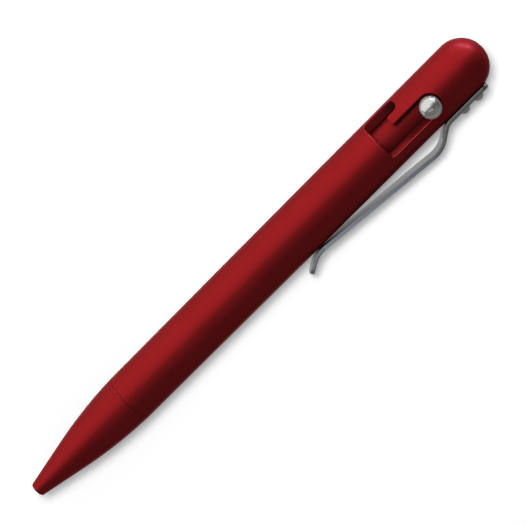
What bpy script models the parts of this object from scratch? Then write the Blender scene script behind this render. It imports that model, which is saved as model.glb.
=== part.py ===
"""Bolt action pen with a screwed nose cone, a J-shaped bolt slot and a screwed-on pocket clip.

Every shape is drawn in the pen's own frame: +X runs along the pen's axis from the mouth of the nose (x = 0) to
the domed tail, -Y points at the pocket clip and +Z at the bolt's knob. The pen then lies on its side, on one
facet of the barrel and on a corner of the clip, with the world's origin in the middle of that facet.
All lengths are in metres and all angles in degrees.
"""

import math

import bmesh
import bpy
from mathutils import Vector

# Overall
PEN_LENGTH = 0.1400
NOSE_LENGTH = 0.0301

# Nose cone
TIP_WALL = 0.0005
TIP_ROUND = 0.00045
CONE_LENGTH = 0.0113
CONE_ANGLE = 11.03
SPRING_SEAT_DEPTH = 0.0036
SPIGOT_LENGTH = 0.0070
JOINT_GAP = 0.0001
EDGE_BREAK = 0.00012

# Barrel
BARREL_RADIUS = 0.00621
BARREL_TAPER = 0.0002
STRAIGHT_LENGTH = 0.0388
DOME_LENGTH = 0.0062
BARREL_WALL = 0.00221
TAIL_WALL = 0.0077
SOCKET_STEP = 0.00075
SOCKET_RELIEF = 0.0008

# Slot for the knob's stud, with its widths measured round the barrel's surface
SLOT_SETBACK = 0.01412
LONG_LEG_LENGTH = 0.01618
LONG_LEG_WIDTH = 0.0055
TONGUE_SETBACK = 0.0051
TONGUE_WIDTH = 0.0023
SHORT_LEG_LENGTH = 0.00847
SHORT_LEG_WIDTH = 0.0038
FRONT_CORNER = 0.0009
TONGUE_CORNER = 0.0004
SHORT_CORNER = 0.0013
SLOT_CHAMFER = 0.00015

# Bolt
BOLT_LENGTH = 0.0336
BOLT_CHAMFER = 0.0004
BOLT_WALL = 0.00092
REFILL_POCKET_DEPTH = 0.0030

# Knob, from its stud through the bolt's axis to its domed head
STUD_RADIUS = 0.00115
STUD_REACH = 0.0012
STUD_CHAMFER = 0.0002
KNOB_LIFT = 0.00015
COLLAR_RADIUS = 0.00237
COLLAR_HEIGHT = 0.0019
GROOVE_WIDTH = 0.0003
GROOVE_DEPTH = 0.00025
HEAD_RADIUS = 0.00235
HEAD_HEIGHT = 0.00094
HEAD_EDGE = 0.00015
HEAD_DOME = 0.00106

# Refill
REFILL_RECESS = 0.0032
TUBE_WALL = 0.0004
SHOULDER_LENGTH = 0.0030
THROAT_LENGTH = 0.0020
SNOUT_RADIUS = 0.001175
SNOUT_LENGTH = 0.0155
SNOUT_INSERT = 0.0028
POINT_LENGTH = 0.0024
BALL_RADIUS = 0.0005
BALL_SHOW = 0.00025
BALL_GAP = 0.00003
LIP_WALL = 0.0001
INK_CHANNEL_RADIUS = 0.0003
CROWN_LENGTH = 0.0022
CROWN_STEP = 0.0002
PLUG_LENGTH = 0.0030
VENT_RADIUS = 0.0005
NOTCH_DEPTH = 0.0012
NOTCH_WIDTH = 0.0009
NOTCH_PAIRS = 3

# Return spring
WIRE_RADIUS = 0.00015
SPRING_GAP = 0.0002
SPRING_TURNS = 8

# Pocket clip
CLIP_SETBACK = 0.00485
CLIP_WIDTH = 0.0050
CLIP_THICKNESS = 0.0009
CLIP_CORNER = 0.0015
PLATE_LENGTH = 0.0110
CLIP_SEAT_CUT = 0.00026
CLIP_SEAT_LEAD = 0.0009
CLIP_RISE = 0.00313
RISE_ANGLE = 35.0
FOOT_BEND = 0.0042
TOP_BEND = 0.0062
TOUCH_BEND = 0.0066
TOUCH_GAP = 0.00006
CLIP_REACH = 0.05075
FLARE_ANGLE = 31.5
FLARE_LENGTH = 0.0028

# Clip screws
SCREW_SETBACK = 0.00315
SCREW_SPACING = 0.0040
SCREW_RADIUS = 0.0008
SCREW_TIP_CHAMFER = 0.0002
SCREW_HEAD_RADIUS = 0.00148
SCREW_HEAD_RIM = 0.0002
SCREW_HEAD_HEIGHT = 0.00125
SCREW_FLOOR = 0.0006
SCREW_TIP_GAP = 0.00015
DRIVE_RADIUS = 0.0006
DRIVE_DEPTH = 0.0006

# Clearances
RUNNING_GAP = 0.00008
FIT_GAP = 0.0001
SEAT_GAP = 0.0001
HEAD_GAP = 0.00005
STOP_GAP = 0.0003
MOUTH_GAP = 0.000125
CUT_OVERRUN = 0.0001
MERGE_DISTANCE = 0.000001

# Shares of the sizes that they follow
RIM_LIMIT_SHARE = 0.9
CUTTER_FLOOR_SHARE = 0.5
CUTTER_TOP_SHARE = 2.0

# Facets
BARREL_SIDES = 64
BOLT_SIDES = 48
KNOB_SIDES = 40
REFILL_SIDES = 32
SNOUT_SIDES = 24
SCREW_SIDES = 24
DRIVE_SIDES = 6
BALL_SIDES = 16
BALL_RINGS = 8
DOME_STEPS = 12
OGIVE_STEPS = 10
BEND_STEPS = 9
CORNER_STEPS = 6
EDGE_STEPS = 3
WIRE_POINTS_PER_TURN = 10
SLOT_ANGLE_STEP = 3.0
SMOOTH_ANGLE = 30.0

# Places along the pen that follow from the sizes
DOME_X = PEN_LENGTH - DOME_LENGTH
STRAIGHT_X = DOME_X - STRAIGHT_LENGTH
BARREL_FRONT_X = NOSE_LENGTH + JOINT_GAP
SPIGOT_END_X = NOSE_LENGTH + SPIGOT_LENGTH
SOCKET_END_X = SPIGOT_END_X + SOCKET_RELIEF
BORE_END_X = PEN_LENGTH - TAIL_WALL
REST_X = (STRAIGHT_X + DOME_X) / 2

LONG_END_X = PEN_LENGTH - SLOT_SETBACK
SLOT_FRONT_X = LONG_END_X - LONG_LEG_LENGTH
TONGUE_X = SLOT_FRONT_X + TONGUE_SETBACK
SHORT_END_X = SLOT_FRONT_X + SHORT_LEG_LENGTH
KNOB_X = LONG_END_X - LONG_LEG_WIDTH / 2
BOLT_TRAVEL = KNOB_X - STUD_RADIUS - SLOT_FRONT_X - STOP_GAP

BOLT_END_X = BORE_END_X - STOP_GAP
BOLT_FRONT_X = BOLT_END_X - BOLT_LENGTH
POCKET_FLOOR_X = BOLT_FRONT_X + REFILL_POCKET_DEPTH
REFILL_END_X = POCKET_FLOOR_X - SEAT_GAP
CROWN_X = REFILL_END_X - CROWN_LENGTH
TUBE_END_X = CROWN_X - SEAT_GAP
SHOULDER_X = REFILL_RECESS + SNOUT_LENGTH
FULL_TUBE_X = SHOULDER_X + SHOULDER_LENGTH

CLIP_END_X = PEN_LENGTH - CLIP_SETBACK
CLIP_FOOT_X = CLIP_END_X - PLATE_LENGTH
CLIP_TOUCH_X = CLIP_END_X - CLIP_REACH
REAR_SCREW_X = CLIP_END_X - SCREW_SETBACK
FRONT_SCREW_X = REAR_SCREW_X - SCREW_SPACING

# Distances from the pen's axis that follow from the sizes
BARREL_FRONT_RADIUS = BARREL_RADIUS - BARREL_TAPER
BORE_RADIUS = BARREL_RADIUS - BARREL_WALL
SOCKET_RADIUS = BORE_RADIUS + SOCKET_STEP
SPIGOT_RADIUS = SOCKET_RADIUS - FIT_GAP
BOLT_RADIUS = BORE_RADIUS - RUNNING_GAP
REFILL_BORE_RADIUS = BOLT_RADIUS - BOLT_WALL
REFILL_RADIUS = REFILL_BORE_RADIUS - FIT_GAP
MOUTH_RADIUS = SNOUT_RADIUS + MOUTH_GAP
TIP_RADIUS = MOUTH_RADIUS + TIP_WALL
SPRING_RADIUS = SNOUT_RADIUS + SPRING_GAP + WIRE_RADIUS
SHOULDER_RADIUS = SPRING_RADIUS + WIRE_RADIUS
SPRING_BORE_RADIUS = SHOULDER_RADIUS + SPRING_GAP
TUBE_BORE_RADIUS = REFILL_RADIUS - TUBE_WALL
SEAT_HEIGHT = BARREL_RADIUS - CLIP_SEAT_CUT
PLATE_HEIGHT = SEAT_HEIGHT + SEAT_GAP
CLIP_TOP_HEIGHT = PLATE_HEIGHT + CLIP_RISE + CLIP_THICKNESS
SCREW_HOLE_FLOOR = BORE_RADIUS + SCREW_FLOOR
SCREW_HEAD_SEAT = PLATE_HEIGHT + CLIP_THICKNESS + HEAD_GAP
SCREW_HOLE_RADIUS = SCREW_RADIUS + FIT_GAP


def clear_scene():
    """Starts from an empty scene."""
    for old in list(bpy.data.objects):
        bpy.data.objects.remove(old, do_unlink=True)


def colour_material(name, colour, roughness, metallic):
    """A Principled material with one colour."""
    material = bpy.data.materials.new(name)
    material.use_nodes = True
    shader = material.node_tree.nodes["Principled BSDF"]
    shader.inputs["Base Color"].default_value = (*colour, 1)
    shader.inputs["Roughness"].default_value = roughness
    shader.inputs["Metallic"].default_value = metallic
    return material


def link_object(name, data, parent, origin, rotation):
    """Puts an object in the scene, placed and turned in its parent's frame."""
    placed = bpy.data.objects.new(name, data)
    bpy.context.scene.collection.objects.link(placed)
    placed.parent = parent
    placed.location = origin
    placed.rotation_euler = [math.radians(angle) for angle in rotation]
    return placed


def finished_mesh(name, bm):
    """Turns a bmesh into a mesh."""
    mesh = bpy.data.meshes.new(name)
    bm.to_mesh(mesh)
    bm.free()
    return mesh


def add_piece(name, bm, material, parent, origin=(0, 0, 0), rotation=(0, 0, 0)):
    """A sub-part made from a bmesh."""
    mesh = finished_mesh(name, bm)
    mesh.materials.append(material)
    mesh.shade_smooth()
    mesh.set_sharp_from_angle(angle=math.radians(SMOOTH_ANGLE))
    return link_object(name, mesh, parent, origin, rotation)


def cut(piece, name, bm, origin=(0, 0, 0), rotation=(0, 0, 0)):
    """Takes a shape, given in the frame of the piece's parent, out of the piece."""
    cutter = link_object(name, finished_mesh(name, bm), piece.parent, origin, rotation)
    cutter.hide_render = True
    cutter.display_type = "WIRE"
    modifier = piece.modifiers.new(name, "BOOLEAN")
    modifier.operation = "DIFFERENCE"
    modifier.solver = "EXACT"
    modifier.object = cutter


def turned(outline, sides, closed=False, first_angle=0.0):
    """Spins (x, radius) points about +X. An outline that isn't closed starts and ends on the axis."""
    bm = bmesh.new()
    turn = math.radians(first_angle)
    verts = [bm.verts.new((x, radius * math.cos(turn), radius * math.sin(turn))) for x, radius in outline]
    edges = [bm.edges.new(pair) for pair in zip(verts, verts[1:])]
    if closed:
        edges.append(bm.edges.new((verts[-1], verts[0])))
    bmesh.ops.spin(bm, geom=verts + edges, cent=(0, 0, 0), axis=(1, 0, 0), angle=math.tau, steps=sides)
    bmesh.ops.remove_doubles(bm, verts=bm.verts, dist=MERGE_DISTANCE)
    bmesh.ops.recalc_face_normals(bm, faces=bm.faces)
    return bm


def cylinder(start, end, radius, sides):
    """A plain cylinder along +X."""
    return turned([(start, 0), (start, radius), (end, radius), (end, 0)], sides)


def box(low, high):
    """A block between two opposite corners."""
    low = Vector(low)
    high = Vector(high)
    bm = bmesh.new()
    bmesh.ops.create_cube(bm, size=1)
    bmesh.ops.scale(bm, vec=high - low, verts=bm.verts)
    bmesh.ops.translate(bm, vec=(low + high) / 2, verts=bm.verts)
    return bm


def shifted(outline, distance):
    """An outline moved along the axis."""
    return [(x + distance, radius) for x, radius in outline]


def rounded_rim(face_x, radius, edge, steps):
    """Points of a rounded outer edge, from the side of a disc onto its face at face_x."""
    points = []
    for step in range(steps + 1):
        angle = math.pi / 2 * step / steps
        points.append((face_x - edge * (1 - math.sin(angle)), radius - edge * (1 - math.cos(angle))))
    return points


def domed_top(base_x, radius, height, steps):
    """Points of a shallow spherical dome after its rim, up to the axis."""
    sphere = (radius**2 + height**2) / (2 * height)
    half_angle = math.asin(radius / sphere)
    centre_x = base_x + height - sphere
    points = []
    for step in range(1, steps):
        angle = half_angle * (1 - step / steps)
        points.append((centre_x + sphere * math.cos(angle), sphere * math.sin(angle)))
    points.append((base_x + height, 0))
    return points


def tangent_arc(start, angle, end, steps):
    """Points after start on the arc that leaves it at an angle above the axis and reaches end."""
    chord = Vector(end) - Vector(start)
    swing = math.atan2(chord.y, chord.x) - math.radians(angle)
    radius = chord.length / (2 * math.sin(swing))
    points = []
    for step in range(1, steps + 1):
        turn = swing * step / steps
        heading = math.radians(angle) + turn
        reach = 2 * radius * math.sin(turn)
        points.append((start[0] + reach * math.cos(heading), start[1] + reach * math.sin(heading)))
    return points


def barrel_radius_at(x):
    """The barrel's outer radius, which widens evenly from the nose joint and then runs straight."""
    share = min(max((x - BARREL_FRONT_X) / (STRAIGHT_X - BARREL_FRONT_X), 0), 1)
    return BARREL_FRONT_RADIUS + share * (BARREL_RADIUS - BARREL_FRONT_RADIUS)


def rest_height():
    """The height of the pen's axis when the barrel lies on one facet."""
    return BARREL_RADIUS * math.cos(math.pi / BARREL_SIDES)


def rest_roll():
    """How far the clip points below the horizontal when its highest corner touches the ground too."""
    corner_reach = math.hypot(CLIP_TOP_HEIGHT, CLIP_WIDTH / 2)
    corner_angle = math.atan2(CLIP_WIDTH / 2, CLIP_TOP_HEIGHT)
    return math.degrees(math.asin(rest_height() / corner_reach) - corner_angle)


def first_facet_angle():
    """The angle of the first corner of the outer pieces, which puts one facet flat on the ground."""
    return 180 / BARREL_SIDES - 90 - rest_roll()


def nose_outline():
    """Closed outline of the nose cone: mouth, cone, ogive, shoulder, spigot and stepped bore."""
    rim = min(TIP_ROUND, RIM_LIMIT_SHARE * TIP_WALL)
    outline = [(-x, radius) for x, radius in reversed(rounded_rim(0, TIP_RADIUS, rim, CORNER_STEPS))]
    cone_end = (CONE_LENGTH, TIP_RADIUS + (CONE_LENGTH - rim) * math.tan(math.radians(CONE_ANGLE)))
    outline.append(cone_end)
    outline += tangent_arc(cone_end, CONE_ANGLE, (NOSE_LENGTH - EDGE_BREAK, BARREL_FRONT_RADIUS), OGIVE_STEPS)
    outline.append((NOSE_LENGTH, BARREL_FRONT_RADIUS - EDGE_BREAK))
    outline.append((NOSE_LENGTH, SPIGOT_RADIUS))
    outline.append((SPIGOT_END_X - EDGE_BREAK, SPIGOT_RADIUS))
    outline.append((SPIGOT_END_X, SPIGOT_RADIUS - EDGE_BREAK))
    outline.append((SPIGOT_END_X, REFILL_BORE_RADIUS))
    outline.append((FULL_TUBE_X - BOLT_TRAVEL - STOP_GAP, REFILL_BORE_RADIUS))
    outline.append((SHOULDER_X - BOLT_TRAVEL - STOP_GAP, SPRING_BORE_RADIUS))
    outline.append((SPRING_SEAT_DEPTH, SPRING_BORE_RADIUS))
    outline.append((SPRING_SEAT_DEPTH, MOUTH_RADIUS))
    outline.append((0, MOUTH_RADIUS))
    return outline


def make_nose_cone(material, parent):
    """The screwed nose cone, with its origin on the axis at the joint."""
    bm = turned(shifted(nose_outline(), -NOSE_LENGTH), BARREL_SIDES, True, first_facet_angle())
    return add_piece("nose_cone", bm, material, parent, (NOSE_LENGTH, 0, 0))


def barrel_outline():
    """Open outline of the barrel, from the closed end of its bore round the front to the top of the dome."""
    outline = [(BORE_END_X, 0), (BORE_END_X, BORE_RADIUS), (SOCKET_END_X, BORE_RADIUS)]
    outline.append((SOCKET_END_X, SOCKET_RADIUS))
    outline.append((BARREL_FRONT_X + EDGE_BREAK, SOCKET_RADIUS))
    outline.append((BARREL_FRONT_X, SOCKET_RADIUS + EDGE_BREAK))
    outline.append((BARREL_FRONT_X, BARREL_FRONT_RADIUS - EDGE_BREAK))
    outline.append((BARREL_FRONT_X + EDGE_BREAK, BARREL_FRONT_RADIUS))
    outline.append((STRAIGHT_X, BARREL_RADIUS))
    for step in range(DOME_STEPS):
        angle = math.pi / 2 * step / DOME_STEPS
        outline.append((DOME_X + DOME_LENGTH * math.sin(angle), BARREL_RADIUS * math.cos(angle)))
    outline.append((PEN_LENGTH, 0))
    return outline


def slot_corners():
    """The slot's corners, each as an arc's centre, the ways in and out, its radius and +1 where it is convex."""
    low = -LONG_LEG_WIDTH / 2
    middle = LONG_LEG_WIDTH / 2
    short_low = middle + TONGUE_WIDTH
    high = short_low + SHORT_LEG_WIDTH
    places = [
        (SLOT_FRONT_X, low, FRONT_CORNER),
        (LONG_END_X, low, LONG_LEG_WIDTH / 2),
        (LONG_END_X, middle, LONG_LEG_WIDTH / 2),
        (TONGUE_X, middle, TONGUE_CORNER),
        (TONGUE_X, short_low, TONGUE_CORNER),
        (SHORT_END_X, short_low, SHORT_CORNER),
        (SHORT_END_X, high, SHORT_CORNER),
        (SLOT_FRONT_X, high, FRONT_CORNER),
    ]
    corners = []
    for index, (x, around, radius) in enumerate(places):
        here = Vector((x, around))
        way_in = (here - Vector(places[index - 1][:2])).normalized()
        way_out = (Vector(places[(index + 1) % len(places)][:2]) - here).normalized()
        side = math.copysign(1, way_in.x * way_out.y - way_in.y * way_out.x)
        corners.append((here + (way_out - way_in) * radius, way_in, way_out, radius, side))
    return corners


def slot_points(growth):
    """The slot's outline, grown outwards, as (x, distance round the barrel away from the clip)."""
    corners = slot_corners()
    points = []
    for index, (centre, way_in, way_out, radius, side) in enumerate(corners):
        reach = radius + side * growth
        for step in range(CORNER_STEPS + 1):
            angle = math.pi / 2 * step / CORNER_STEPS
            points.append(centre + (way_in * math.sin(angle) - way_out * math.cos(angle)) * reach)
        next_centre, _, next_way_out, next_radius, next_side = corners[(index + 1) % len(corners)]
        start = points[-1]
        end = next_centre - next_way_out * (next_radius + next_side * growth)
        if (end - start).length < MERGE_DISTANCE:
            points.pop()
        span = abs(next_centre.y - centre.y) * abs(way_out.y)
        steps = math.ceil(math.degrees(span / BARREL_RADIUS) / SLOT_ANGLE_STEP)
        points += [start.lerp(end, step / steps) for step in range(1, steps)]
    return points


def slot_shape():
    """The slot as a solid whose walls point at the pen's axis, with a chamfer at the barrel's surface."""
    levels = [
        (BORE_RADIUS * CUTTER_FLOOR_SHARE, 0),
        (BARREL_RADIUS - SLOT_CHAMFER, 0),
        (BARREL_RADIUS + CUT_OVERRUN, SLOT_CHAMFER + CUT_OVERRUN),
        (BARREL_RADIUS * CUTTER_TOP_SHARE, SLOT_CHAMFER + CUT_OVERRUN),
    ]
    bm = bmesh.new()
    rings = []
    for radius, growth in levels:
        ring = []
        for x, around in slot_points(growth):
            angle = math.pi / 2 - around / BARREL_RADIUS
            ring.append(bm.verts.new((x, radius * math.cos(angle), radius * math.sin(angle))))
        rings.append(ring)
    for lower, upper in zip(rings, rings[1:]):
        for index in range(len(lower)):
            bm.faces.new((lower[index - 1], lower[index], upper[index], upper[index - 1]))
    bm.faces.new(rings[0])
    bm.faces.new(rings[-1])
    bmesh.ops.triangulate(bm, faces=bm.faces)
    bmesh.ops.recalc_face_normals(bm, faces=bm.faces)
    return bm


def make_barrel(material, parent):
    """The barrel, cut for the knob's stud, the clip's plate and the two clip screws."""
    bm = turned(shifted(barrel_outline(), -BARREL_FRONT_X), BARREL_SIDES, False, first_facet_angle())
    barrel = add_piece("barrel", bm, material, parent, (BARREL_FRONT_X, 0, 0))
    cut(barrel, "slot_cutter", slot_shape())
    seat_low = (CLIP_FOOT_X - CLIP_SEAT_LEAD, -BARREL_RADIUS - CUT_OVERRUN, -BARREL_RADIUS)
    seat_high = (PEN_LENGTH, -SEAT_HEIGHT, BARREL_RADIUS)
    cut(barrel, "clip_seat_cutter", box(seat_low, seat_high))
    for name, screw_x in (("front", FRONT_SCREW_X), ("rear", REAR_SCREW_X)):
        hole = cylinder(SCREW_HOLE_FLOOR, BARREL_RADIUS + CUT_OVERRUN, SCREW_HOLE_RADIUS, SCREW_SIDES)
        cut(barrel, f"{name}_thread_cutter", hole, (screw_x, 0, 0), (0, 0, -90))
    return barrel


def make_bolt(material, parent):
    """The bolt that slides in the barrel, with a pocket for the refill and a cross hole for the knob."""
    outline = [
        (POCKET_FLOOR_X, 0),
        (POCKET_FLOOR_X, REFILL_BORE_RADIUS),
        (BOLT_FRONT_X, REFILL_BORE_RADIUS),
        (BOLT_FRONT_X, BOLT_RADIUS - BOLT_CHAMFER),
        (BOLT_FRONT_X + BOLT_CHAMFER, BOLT_RADIUS),
        (BOLT_END_X - BOLT_CHAMFER, BOLT_RADIUS),
        (BOLT_END_X, BOLT_RADIUS - BOLT_CHAMFER),
        (BOLT_END_X, 0),
    ]
    bolt = add_piece("bolt", turned(shifted(outline, -KNOB_X), BOLT_SIDES), material, parent, (KNOB_X, 0, 0))
    hole = cylinder(-STUD_REACH - FIT_GAP, BOLT_RADIUS + CUT_OVERRUN, STUD_RADIUS + FIT_GAP, KNOB_SIDES)
    cut(bolt, "stud_cutter", hole, (KNOB_X, 0, 0), (0, -90, 0))
    return bolt


def make_bolt_knob(material, parent):
    """The knob: a stud through the slot into the bolt, a collar, a groove and a domed head."""
    collar_base = BARREL_RADIUS + KNOB_LIFT
    collar_top = collar_base + COLLAR_HEIGHT
    head_base = collar_top + GROOVE_WIDTH
    head_top = head_base + HEAD_HEIGHT
    groove_radius = HEAD_RADIUS - GROOVE_DEPTH
    outline = [(-STUD_REACH, 0), (-STUD_REACH, STUD_RADIUS - STUD_CHAMFER)]
    outline += [(STUD_CHAMFER - STUD_REACH, STUD_RADIUS), (collar_base, STUD_RADIUS)]
    outline.append((collar_base, COLLAR_RADIUS - EDGE_BREAK))
    outline.append((collar_base + EDGE_BREAK, COLLAR_RADIUS))
    outline += rounded_rim(collar_top, COLLAR_RADIUS, EDGE_BREAK, EDGE_STEPS)
    outline += [(collar_top, groove_radius), (head_base, groove_radius)]
    outline += [(head_base, HEAD_RADIUS - EDGE_BREAK), (head_base + EDGE_BREAK, HEAD_RADIUS)]
    outline += rounded_rim(head_top, HEAD_RADIUS, HEAD_EDGE, EDGE_STEPS)
    outline += domed_top(head_top, HEAD_RADIUS - HEAD_EDGE, HEAD_DOME, CORNER_STEPS)
    return add_piece("bolt_knob", turned(outline, KNOB_SIDES), material, parent, (KNOB_X, 0, 0), (0, -90, 0))


def make_refill_tube(material, parent):
    """The refill's tube, which narrows at the front to hold the writing tip and to carry the spring."""
    neck_radius = SNOUT_RADIUS + HEAD_GAP
    outline = [
        (SHOULDER_X, neck_radius),
        (SHOULDER_X, SHOULDER_RADIUS),
        (FULL_TUBE_X, REFILL_RADIUS),
        (TUBE_END_X, REFILL_RADIUS),
        (TUBE_END_X, TUBE_BORE_RADIUS),
        (FULL_TUBE_X + THROAT_LENGTH, TUBE_BORE_RADIUS),
        (FULL_TUBE_X, neck_radius),
    ]
    bm = turned(shifted(outline, -SHOULDER_X), REFILL_SIDES, True)
    return add_piece("refill_tube", bm, material, parent, (SHOULDER_X, 0, 0))


def make_refill_tip(material, parent):
    """The refill's writing tip: a ball socket with a lip, a cone, a thin snout and an ink channel."""
    socket = BALL_RADIUS + BALL_GAP
    lip_angle = math.acos((BALL_RADIUS - BALL_SHOW) / socket)
    channel_angle = math.pi - math.asin(INK_CHANNEL_RADIUS / socket)
    ball_x = REFILL_RECESS + BALL_RADIUS
    face_x = REFILL_RECESS + BALL_SHOW
    outline = [(face_x, socket * math.sin(lip_angle) + LIP_WALL)]
    outline.append((face_x + POINT_LENGTH, SNOUT_RADIUS))
    outline.append((SHOULDER_X + SNOUT_INSERT, SNOUT_RADIUS))
    outline.append((SHOULDER_X + SNOUT_INSERT, INK_CHANNEL_RADIUS))
    for step in range(CORNER_STEPS + 1):
        angle = channel_angle + (lip_angle - channel_angle) * step / CORNER_STEPS
        outline.append((ball_x - socket * math.cos(angle), socket * math.sin(angle)))
    bm = turned(shifted(outline, -REFILL_RECESS), SNOUT_SIDES, True)
    return add_piece("refill_tip", bm, material, parent, (REFILL_RECESS, 0, 0))


def make_refill_ball(material, parent):
    """The rolling ball, with its origin at its centre."""
    bm = bmesh.new()
    bmesh.ops.create_uvsphere(bm, u_segments=BALL_SIDES, v_segments=BALL_RINGS, radius=BALL_RADIUS)
    return add_piece("refill_ball", bm, material, parent, (REFILL_RECESS + BALL_RADIUS, 0, 0))


def make_refill_end_cap(material, parent):
    """The vented plastic plug at the refill's rear end, with a notched crown."""
    plug_x = TUBE_END_X - PLUG_LENGTH
    plug_radius = TUBE_BORE_RADIUS - HEAD_GAP
    crown_radius = REFILL_RADIUS - CROWN_STEP
    outline = [
        (plug_x, VENT_RADIUS),
        (plug_x, plug_radius - EDGE_BREAK),
        (plug_x + EDGE_BREAK, plug_radius),
        (CROWN_X, plug_radius),
        (CROWN_X, crown_radius),
        (REFILL_END_X - EDGE_BREAK, crown_radius),
        (REFILL_END_X, crown_radius - EDGE_BREAK),
        (REFILL_END_X, VENT_RADIUS),
    ]
    bm = turned(shifted(outline, -REFILL_END_X), REFILL_SIDES, True)
    cap = add_piece("refill_end_cap", bm, material, parent, (REFILL_END_X, 0, 0))
    for pair in range(NOTCH_PAIRS):
        low = (-NOTCH_DEPTH, -REFILL_RADIUS, -NOTCH_WIDTH / 2)
        high = (CUT_OVERRUN, REFILL_RADIUS, NOTCH_WIDTH / 2)
        turn = 180 * pair / NOTCH_PAIRS
        cut(cap, f"notch_cutter_{pair + 1}", box(low, high), (REFILL_END_X, 0, 0), (turn, 0, 0))
    return cap


def spring_points():
    """The middle line of the spring's wire, measured from the spring's seat."""
    count = SPRING_TURNS * WIRE_POINTS_PER_TURN
    start = SEAT_GAP + WIRE_RADIUS
    rise = SHOULDER_X - SPRING_SEAT_DEPTH - 2 * start
    points = []
    for index in range(count + 1):
        angle = math.tau * index / WIRE_POINTS_PER_TURN
        x = start + rise * index / count
        points.append(Vector((x, SPRING_RADIUS * math.cos(angle), SPRING_RADIUS * math.sin(angle))))
    return points


def least_coil_gap(points):
    """The least free distance between stretches of wire that lie half a turn or more apart."""
    apart = WIRE_POINTS_PER_TURN // 2
    distances = []
    for index, point in enumerate(points):
        distances += [(point - other).length for other in points[index + apart :]]
    return min(distances) - 2 * WIRE_RADIUS


def make_return_spring(material, parent):
    """The coil spring between the nose cone's seat and the refill's shoulder."""
    points = spring_points()
    print(f"return_spring: least gap to itself {least_coil_gap(points):.6f} m")
    curve = bpy.data.curves.new("return_spring", "CURVE")
    curve.dimensions = "3D"
    curve.bevel_depth = WIRE_RADIUS
    curve.bevel_resolution = 1
    curve.use_fill_caps = True
    spline = curve.splines.new("POLY")
    spline.points.add(len(points) - 1)
    for target, point in zip(spline.points, points):
        target.co = (*point, 1)
    curve.materials.append(material)
    return link_object("return_spring", curve, parent, (SPRING_SEAT_DEPTH, 0, 0), (0, 0, 0))


def clip_stretches():
    """The clip's inner face from the tail to the flare, as (length, radius, turn) stretches.

    A turn is in radians, positive away from the barrel, and a straight stretch has no radius. The straight arm is
    the common tangent of the top bend and of the bend that touches the barrel.
    """
    rise = math.radians(RISE_ANGLE)
    flare = math.radians(FLARE_ANGLE)
    ramp = (CLIP_RISE - (FOOT_BEND + TOP_BEND) * (1 - math.cos(rise))) / math.sin(rise)
    top_x = CLIP_FOOT_X - (FOOT_BEND + TOP_BEND) * math.sin(rise) - ramp * math.cos(rise)
    drop = PLATE_HEIGHT + CLIP_RISE - barrel_radius_at(CLIP_TOUCH_X) - TOUCH_GAP
    bends = TOP_BEND + TOUCH_BEND
    centres = Vector((top_x - CLIP_TOUCH_X, bends - drop))
    arm = math.sqrt(centres.length_squared - bends**2)
    slope = math.atan2(bends, arm) - math.atan2(centres.y, centres.x)
    return [
        (PLATE_LENGTH, 0, 0),
        (FOOT_BEND * rise, FOOT_BEND, rise),
        (ramp, 0, 0),
        (TOP_BEND * (rise + slope), TOP_BEND, -rise - slope),
        (arm, 0, 0),
        (TOUCH_BEND * (slope + flare), TOUCH_BEND, slope + flare),
        (FLARE_LENGTH, 0, 0),
    ]


def clip_place(distance, stretches):
    """The clip's inner face at a distance from its tail end: x, distance from the pen's axis and heading."""
    x = CLIP_END_X
    height = PLATE_HEIGHT
    heading = 0.0
    for length, radius, turn in stretches:
        step = min(distance, length)
        if radius:
            turned_by = turn * step / length
            bend = math.copysign(radius, turn)
            x -= bend * (math.sin(heading + turned_by) - math.sin(heading))
            height += bend * (math.cos(heading) - math.cos(heading + turned_by))
            heading += turned_by
        else:
            x -= step * math.cos(heading)
            height += step * math.sin(heading)
        distance -= step
        if distance <= 0:
            break
    return x, height, heading


def clip_stations(stretches):
    """Distances along the clip, with its half width at each: rounded ends and a row of stations in each bend."""
    total = sum(length for length, _, _ in stretches)
    inner_width = CLIP_WIDTH / 2 - CLIP_CORNER
    stations = []
    for step in range(CORNER_STEPS + 1):
        angle = math.pi / 2 * step / CORNER_STEPS
        inset = CLIP_CORNER * (1 - math.cos(angle))
        width = inner_width + CLIP_CORNER * math.sin(angle)
        stations += [(inset, width), (total - inset, width)]
    passed = 0
    for length, radius, _ in stretches:
        for step in range(BEND_STEPS + 1 if radius else 0):
            place = passed + length * step / BEND_STEPS
            if CLIP_CORNER < place < total - CLIP_CORNER:
                stations.append((place, CLIP_WIDTH / 2))
        passed += length
    return sorted(stations)


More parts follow.
